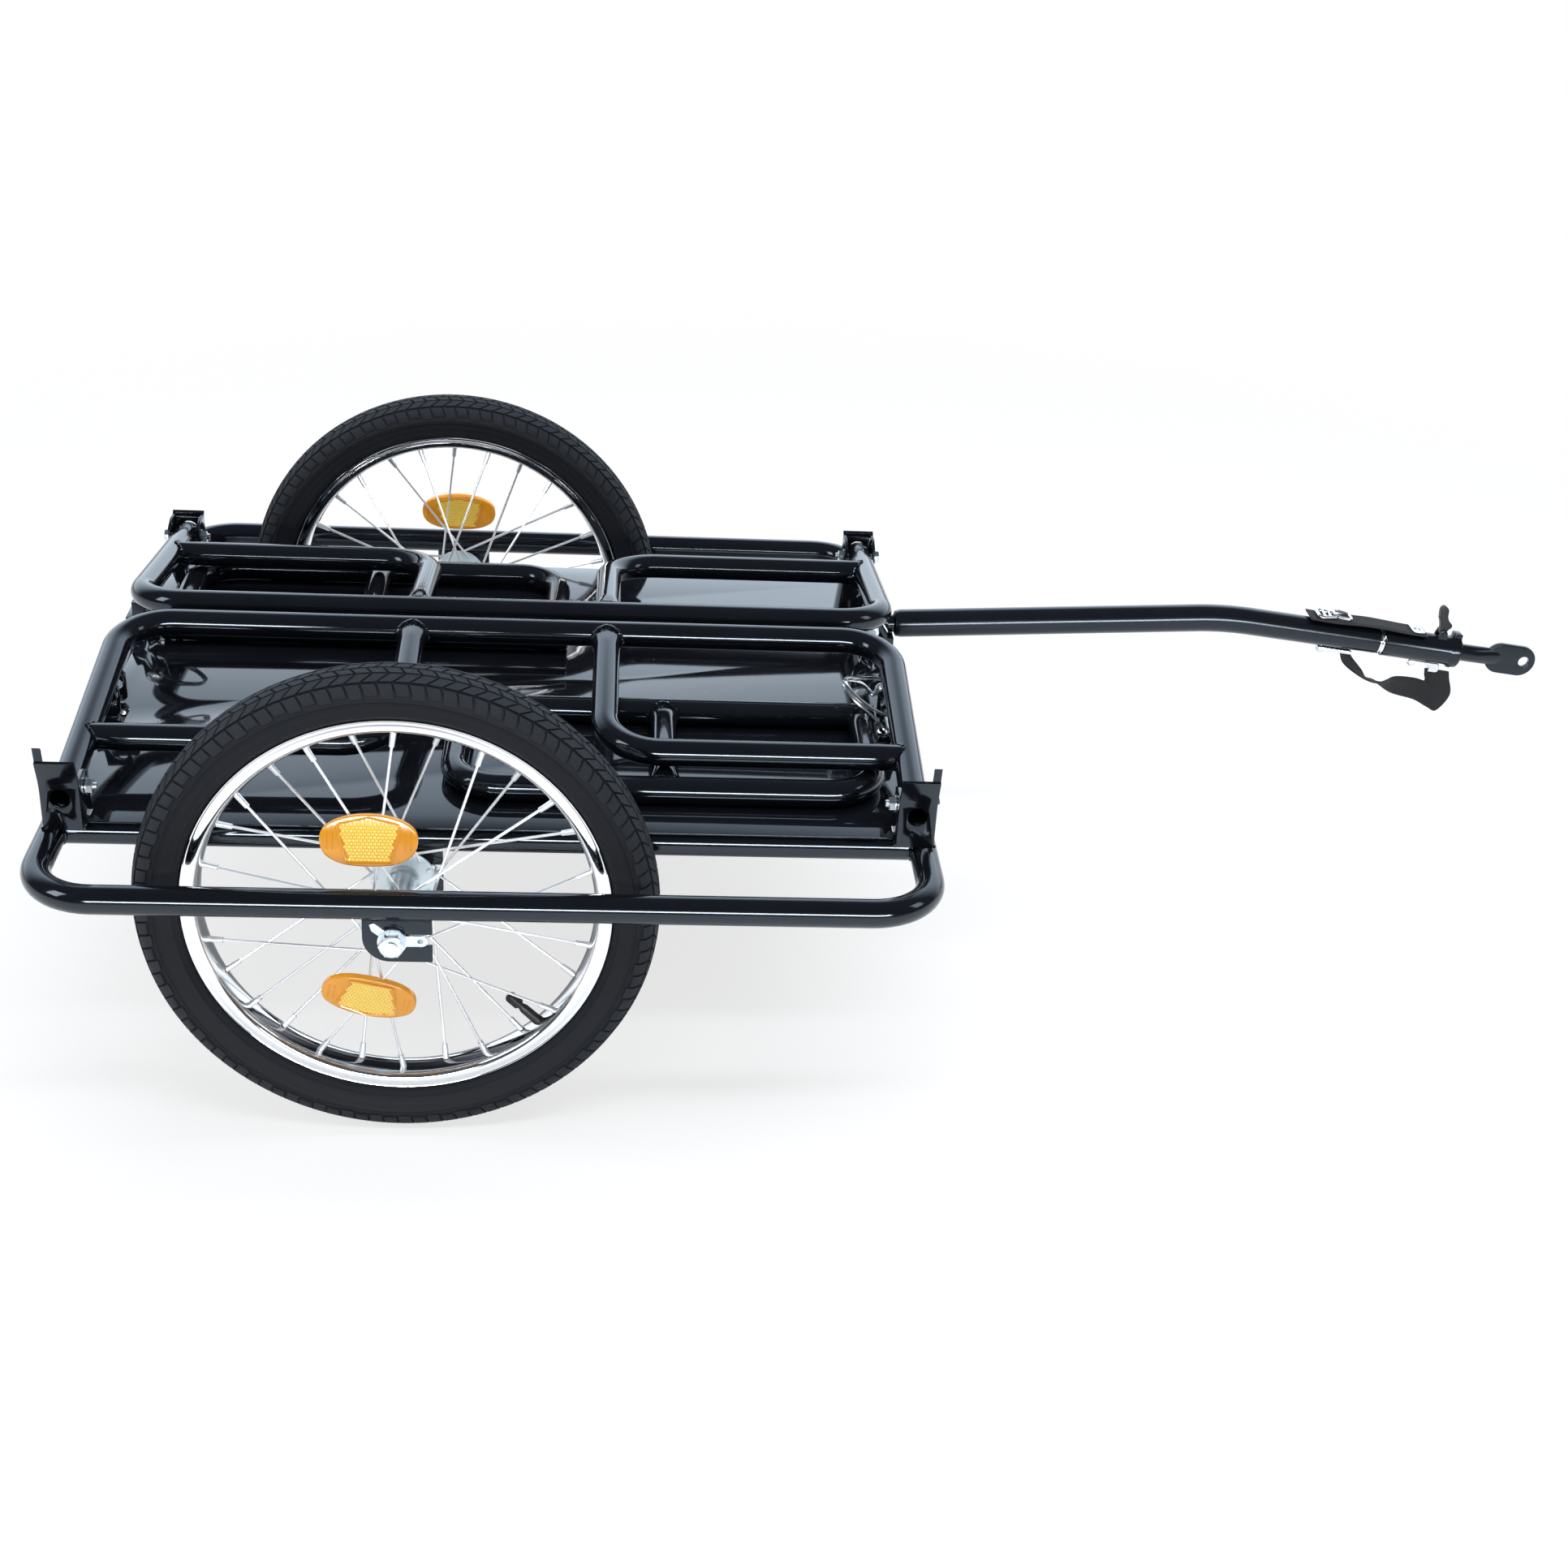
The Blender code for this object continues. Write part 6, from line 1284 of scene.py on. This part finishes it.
# The tyres. Dark grey rubber is moulded with raised lines round the wall, and a tread of small
# blocks in six rows, with slanting grooves between them and a fine knurl on top.
RUBBER = coated(
    "dark_grey_rubber", (0.0062, 0.0080, 0.0120), (0.0105, 0.0130, 0.0185),
    1300.0, 0.00005, 0.62, 0.16, 30.0, Specular_IOR_Level=0.17,
)
TREAD_SECTORS = 52
SECTOR = 2 * math.pi / TREAD_SECTORS
KNURL = 0.00115
tyre_half = mm(
    (0, 195.3), (5, 195.1), (10, 194.3), (15, 192.2), (18.6, 189.2), (20.6, 185.5), (21.7, 181.5),
    (22.2, 180.8), (22.5, 180.3), (22.4, 179.8), (21.8, 179.3), (21.8, 178.7), (22.3, 178.3),
    (22.3, 177.7), (21.8, 177.2), (21.5, 174.5), (20.4, 170.5), (19, 167.6), (19.1, 166.9),
    (18.7, 166.2), (17.7, 166), (16.6, 164.5), (15, 163.2), (13.6, 162.2), (11.4, 161.2),
    (11.4, 153), (8, 153), (8.8, 162.5), (13, 165), (16.5, 169), (18.5, 174.5), (18.7, 180),
    (16.5, 187), (10, 190.8),
)
CROWN = tyre_half[:7]


def on_crown(share, across, height, side):
    """A place on the tread: a share of the sector, how far from the crown, and how far above."""
    for (a0, r0), (a1, r1) in zip(CROWN, CROWN[1:]):
        length = math.hypot(a1 - a0, r1 - r0)
        if across <= length or (a1, r1) == CROWN[-1]:
            break
        across -= length
    t = across / length
    axial = a0 + (a1 - a0) * t - (r1 - r0) / length * height
    radius = r0 + (r1 - r0) * t + (a1 - a0) / length * height
    angle = (share - 0.5) * SECTOR
    return Vector((radius * math.sin(angle), side * axial, radius * math.cos(angle)))


TREAD_ROWS = (  # the blocks' stations from the crown outwards, each with its slant along the tyre
    ((0.0006, 0.00), (0.0072, 0.16)),
    ((0.0084, 0.19), (0.0160, -0.14)),
    ((0.0173, -0.19), (0.0205, -0.13), (0.0240, -0.09), (0.0280, -0.07)),
)
SHOULDER = TREAD_ROWS[-1]
BLOCK_LENGTH, BLOCK_SLOPE = 0.44, 0.014
BLOCK_TALL, BLOCK_TAIL, BLOCK_ROOT, BLOCK_INSET = 0.0016, 0.0009, -0.0008, 0.0004


def tread_sector():
    """The blocks of one sector of the tread, round the origin, with a UV map in metres."""
    blocks, uvs = [], []
    for side in (1, -1):
        for stations in TREAD_ROWS:
            last = len(stations) - 1
            for half in (0, 1):
                rings = []
                for order, (across, slant) in enumerate(stations):
                    tail = stations is SHOULDER and order == last
                    if tail and half:
                        across -= 0.0020
                    low = 0.5 * half + 0.03 + slant + (0.0 if side > 0 else 0.25)
                    high = low + BLOCK_LENGTH
                    tall = BLOCK_TAIL if tail else BLOCK_TALL
                    inset = {0: BLOCK_INSET, last: -BLOCK_INSET}.get(order, 0.0)
                    corners = (
                        (low, BLOCK_ROOT, 0.0), (low + BLOCK_SLOPE, tall, inset),
                        (high - BLOCK_SLOPE, tall, inset), (high, BLOCK_ROOT, 0.0),
                    )
                    rings.append([
                        on_crown(share, across + shift, height, side)
                        for share, height, shift in corners
                    ])
                    uvs += [(share * SECTOR * 0.195, across) for share, _, _ in corners]
                blocks.append(skinned(rings))
    mesh = fused(*blocks)
    layer = mesh.uv_layers.new(name="tread")
    for loop in mesh.loops:
        layer.data[loop.index].uv = uvs[loop.vertex_index]
    return mesh


def tread_tree():
    """A sector of tread repeated round the axle."""
    sizes = {"Sectors": TREAD_SECTORS, "Centre": (0.0, 0.0, 0.0)}
    tree, size, leave = geometry_tree("tread", sizes)
    seats = {"Count": size["Sectors"], "Position": size["Centre"]}
    seats = node_in(tree, "GeometryNodePoints", seats)
    step = math_in(tree, "DIVIDE", 2 * math.pi, size["Sectors"])
    index = tree.nodes.new("GeometryNodeInputIndex").outputs[0]
    angle = node_in(tree, "ShaderNodeCombineXYZ", {"Y": math_in(tree, "MULTIPLY", index, step)})
    turn = node_in(tree, "FunctionNodeEulerToRotation", {0: angle})
    ring = {"Points": seats, "Instance": size["Geometry"], "Rotation": turn}
    ring = node_in(tree, "GeometryNodeInstanceOnPoints", ring)
    return ended(tree, size, leave, ring.outputs[0])


def knurled_rubber():
    """Rubber with a fine diagonal knurl that follows the tread's own UV map."""
    made = coated(
        "knurled_tread_rubber", (0.0125, 0.0160, 0.0225), (0.0210, 0.0260, 0.0350),
        1300.0, 0.00005, 0.60, 0.14, 30.0, Specular_IOR_Level=0.26,
    )
    tree = made.node_tree
    rising = math_in(tree, "ADD", *parted(tree, "tread"))
    ridges = math_in(tree, "SINE", math_in(tree, "MULTIPLY", rising, 2 * math.pi / KNURL))
    embossed(made, ridges, 1.0, 0.00018)
    return made


TREAD = tread_tree()
TREAD_RUBBER = knurled_rubber()
for side, name in SIDES:
    hub = at(0, side * AXLE_Y, 0)
    outline = tyre_half + [(0.0, 0.1918)] + mirrored_back(tyre_half[1:])
    blocks = grown(tread_sector(), TREAD, RUBBER, Sectors=TREAD_SECTORS, Centre=tuple(hub))
    dress(
        f"{name}_tyre_rubber", [turned(outline, hub, Y * side, 144)], RUBBER,
        f"{name}_tyre", f"{name}_wheel", more=[blocks], second=TREAD_RUBBER, crease=50,
    )

# The inner tubes. A thin butyl tube fills each tyre, and its valve comes through the rim between
# two spokes. The valve's stem is rubber, and its black cap is ribbed to be turned with the fingers.
VALVE_ANGLE = math.radians(-45)
INNER_TUBE_R = 0.0146
INNER_TUBE_MIDDLE_R = (0.1605 + 0.197 - 0.0035) / 2 - 0.0012
CAP_RIBS = 12
stem = mm(
    (115, 0), (115.1, 1.6), (115.7, 3.1), (116.8, 4.1), (127, 4.3), (127.3, 3), (130, 2.8),
    (131, 3.3), (133, 3.8), (144, 4), (149, 4.4), (164, 4.6), (164.1, 0),
)
out = round_axle(VALVE_ANGLE)
for side, name in SIDES:
    hub = at(0, side * AXLE_Y, 0)
    circle = ring_of(hub, X * INNER_TUBE_MIDDLE_R, Z * INNER_TUBE_MIDDLE_R, 72)
    parts = [tube(circle, INNER_TUBE_R, sides=20, closed=True), turned(stem, hub, out, 32)]
    for rib in range(CAP_RIBS):
        turn = Matrix.Rotation(2 * math.pi * rib / CAP_RIBS, 3, out)
        way = turn @ out.orthogonal().normalized() * 0.0041
        ends = [hub + out * radius + way for radius in (0.1172, 0.1268)]
        parts.append(tube(ends, 0.0004, sides=6))
    node = f"{name}_inner_tube"
    dress(f"{name}_tube_and_valve", parts, PLASTIC, node, f"{name}_wheel")

# The reflectors. Two amber plastic reflectors are clipped over the spokes of each wheel. Their ends
# are clear amber, and a field of small six-sided prisms stands inside a raised frame in the middle.
AMBER = coated(
    "clear_amber_plastic", (0.93, 0.36, 0.004), (1.0, 0.46, 0.012),
    400.0, 0.00001, 0.10, 0.06, 60.0, Coat_Weight=0.6, Coat_Roughness=0.04,
    Transmission_Weight=0.25, IOR=1.49,
)
PRISM = coated(
    "amber_prisms", (1.0, 0.60, 0.030), (1.0, 0.80, 0.16),
    500.0, 0.00001, 0.06, 0.06, 700.0, Coat_Weight=0.8, Coat_Roughness=0.03,
)
REFLECTOR_LEAN = math.radians(13)
REFLECTOR_R = 0.071
REFLECTOR_OUT = 0.025
REFLECTOR_THICK = 0.0058
PRISM_ROW = 0.00245
PRISM_STEP = 0.00283
PRISM_FOOT = 0.0028
BORDER_HEIGHT = 0.0031
BORDER = mm((-23.2, 12.5), (0, 17.8), (23.2, 12.5), (16.4, -16), (-16.4, -16))
RIBS_AT = (0.0265, 0.0305, -0.0265, -0.0305)
half = [(-0.0335, 0.0085), (-0.025, 0.0150), (-0.013, 0.0188)]
outline = [(-0.0358, -0.001), *half, (0.0, 0.020)] + mirrored_back(half)
half = [(0.0325, -0.0105), (0.024, -0.0165), (0.0135, -0.0193)]
outline += [(0.0358, -0.001), *half, (0.0, -0.020)] + mirrored_back(half)
REFLECTOR_OUTLINE = smooth(outline, 4, closed=True)
REFLECTOR_PLACES = (  # wheel, place, angle round the hub, and tilt
    ("right", "upper", 104.5, 0), ("right", "lower", 252, 12), ("left", "upper", 89, 0),
    ("left", "lower", 269, 0),
)


def prism_tree():
    """Six-sided prisms with sunk sides, one on each point."""
    sizes = {"Prism Radius": 0.00165, "Prism Height": 0.0008}
    tree, size, leave = geometry_tree("prisms", sizes)
    top, base = math_in(tree, "MULTIPLY", size["Prism Radius"], 0.15), size["Prism Radius"]
    prism = solid_in(
        tree, "Cone", Vertices=6, Radius_Top=top, Radius_Bottom=base, Depth=size["Prism Height"]
    )
    return ended(tree, size, leave, standing(tree, size, prism))


PRISMS = prism_tree()
for name, place, angle, tilt in REFLECTOR_PLACES:
    side = 1 if name == "left" else -1
    turn = Matrix.Rotation(math.radians(tilt), 3, "Y")
    radial = round_axle(math.radians(angle))
    level = turn @ X
    upright = turn @ (Z if radial.z > 0 else -Z) * math.cos(REFLECTOR_LEAN)
    upright -= Y * (side * math.sin(REFLECTOR_LEAN))
    centre = at(0, side * AXLE_Y, 0) + radial * REFLECTOR_R + Y * (side * REFLECTOR_OUT)
    parts = [plate(REFLECTOR_OUTLINE, centre, level, upright, REFLECTOR_THICK, 0.0014, 3)]
    prisms = []
    for face in (level.cross(upright).normalized(), -level.cross(upright).normalized()):

        def mark(first, second, height):
            return centre + level * first + upright * second + face * height

        border = rounded([mark(a, b, BORDER_HEIGHT) for a, b in BORDER], 0.003, 5, closed=True)
        parts.append(tube(border, 0.0009, sides=8, closed=True))
        for reach in RIBS_AT:
            rib = [mark(reach, height, 0.0029) for height in (-0.0070, 0.0070)]
            parts.append(tube(rib, 0.0005, sides=6))
        places = []
        for row in range(-6, 7):
            height = row * PRISM_ROW
            reach = 0.0196 + 0.0036 * height / 0.0140 - max(height - 0.0125, 0.0) * 4.5
            count = int(reach / PRISM_STEP) + 1
            for column in range(-count, count + 1):
                first = (column + row % 2 / 2) * PRISM_STEP
                if abs(first) < reach - 0.001:
                    places.append(mark(first, height, PRISM_FOOT))
        prisms.append(grown(spots(places, [face] * len(places)), PRISMS, PRISM))
    dress(
        f"{name}_{place}_amber_reflector", parts, AMBER,
        f"{name}_{place}_reflector", f"{name}_wheel", more=prisms, second=PRISM,
    )

# The axles. Each is a threaded steel rod with a cone on each side of its hub. It sits in the two
# slotted plates and is held by a nut outside each, over a washer whose tab keeps it in the slot.
AXLE_NUT = {
    "Hexagon_Radius": 0.0097, "Hexagon_Height": 0.0072, "Washer_Radius": 0.0108,
    "Washer_Height": 0.0013, "Thread_Radius": 0.00475, "Thread_Height": 0.0106,
}
NUT_REACH = 0.0543
WASHER_REACH = 0.0537
WASHER_THICK = 0.0010
TAB_REACH = 0.0205
cone = mm(
    (33.5, 5.5), (39, 5.5), (40, 7), (40.5, 9), (44, 9), (44.1, 8.5), (48.4, 8.5), (48.7, 8),
    (48.7, 4.7), (64, 4.7), (65, 3.6), (65, 0),
)
tab = arc((0, 0), 0.0105, 25, 335, 40) + [(TAB_REACH, -0.0044)]
tab += arc((0.0215, 0), 0.0044, -90, 90, 12) + [(TAB_REACH, 0.0044)]
hook = mm((0, 4.5), (-13, 15), (-16.5, 14), (-15, 8.5), (-4.5, 0))
for side, name in SIDES:
    hub = at(0, side * AXLE_Y, 0)
    rod = turned(mirrored_back(cone) + cone, hub, Y * side, 48)
    dress(f"{name}_axle_rod", [rod], ZINC, f"{name}_axle")
    for out, place in ((Y * side, "outer"), (-Y * side, "inner")):
        nut = fastener(hub + out * NUT_REACH, out, **AXLE_NUT)
        base = hub + out * WASHER_REACH
        spot = base + X * TAB_REACH
        drill = tube([spot - Y * 0.01, spot + Y * 0.01], 0.0021, sides=24)
        washer = eased(cut(plate(tab, base, X, Z, WASHER_THICK), drill), 0.0002)
        arm = plate(hook, base, X, Z, WASHER_THICK, 0.0002)
        node = f"{name}_{place}_axle_nut"
        dress(f"{name}_{place}_nut", [nut, washer, arm], ZINC, node)
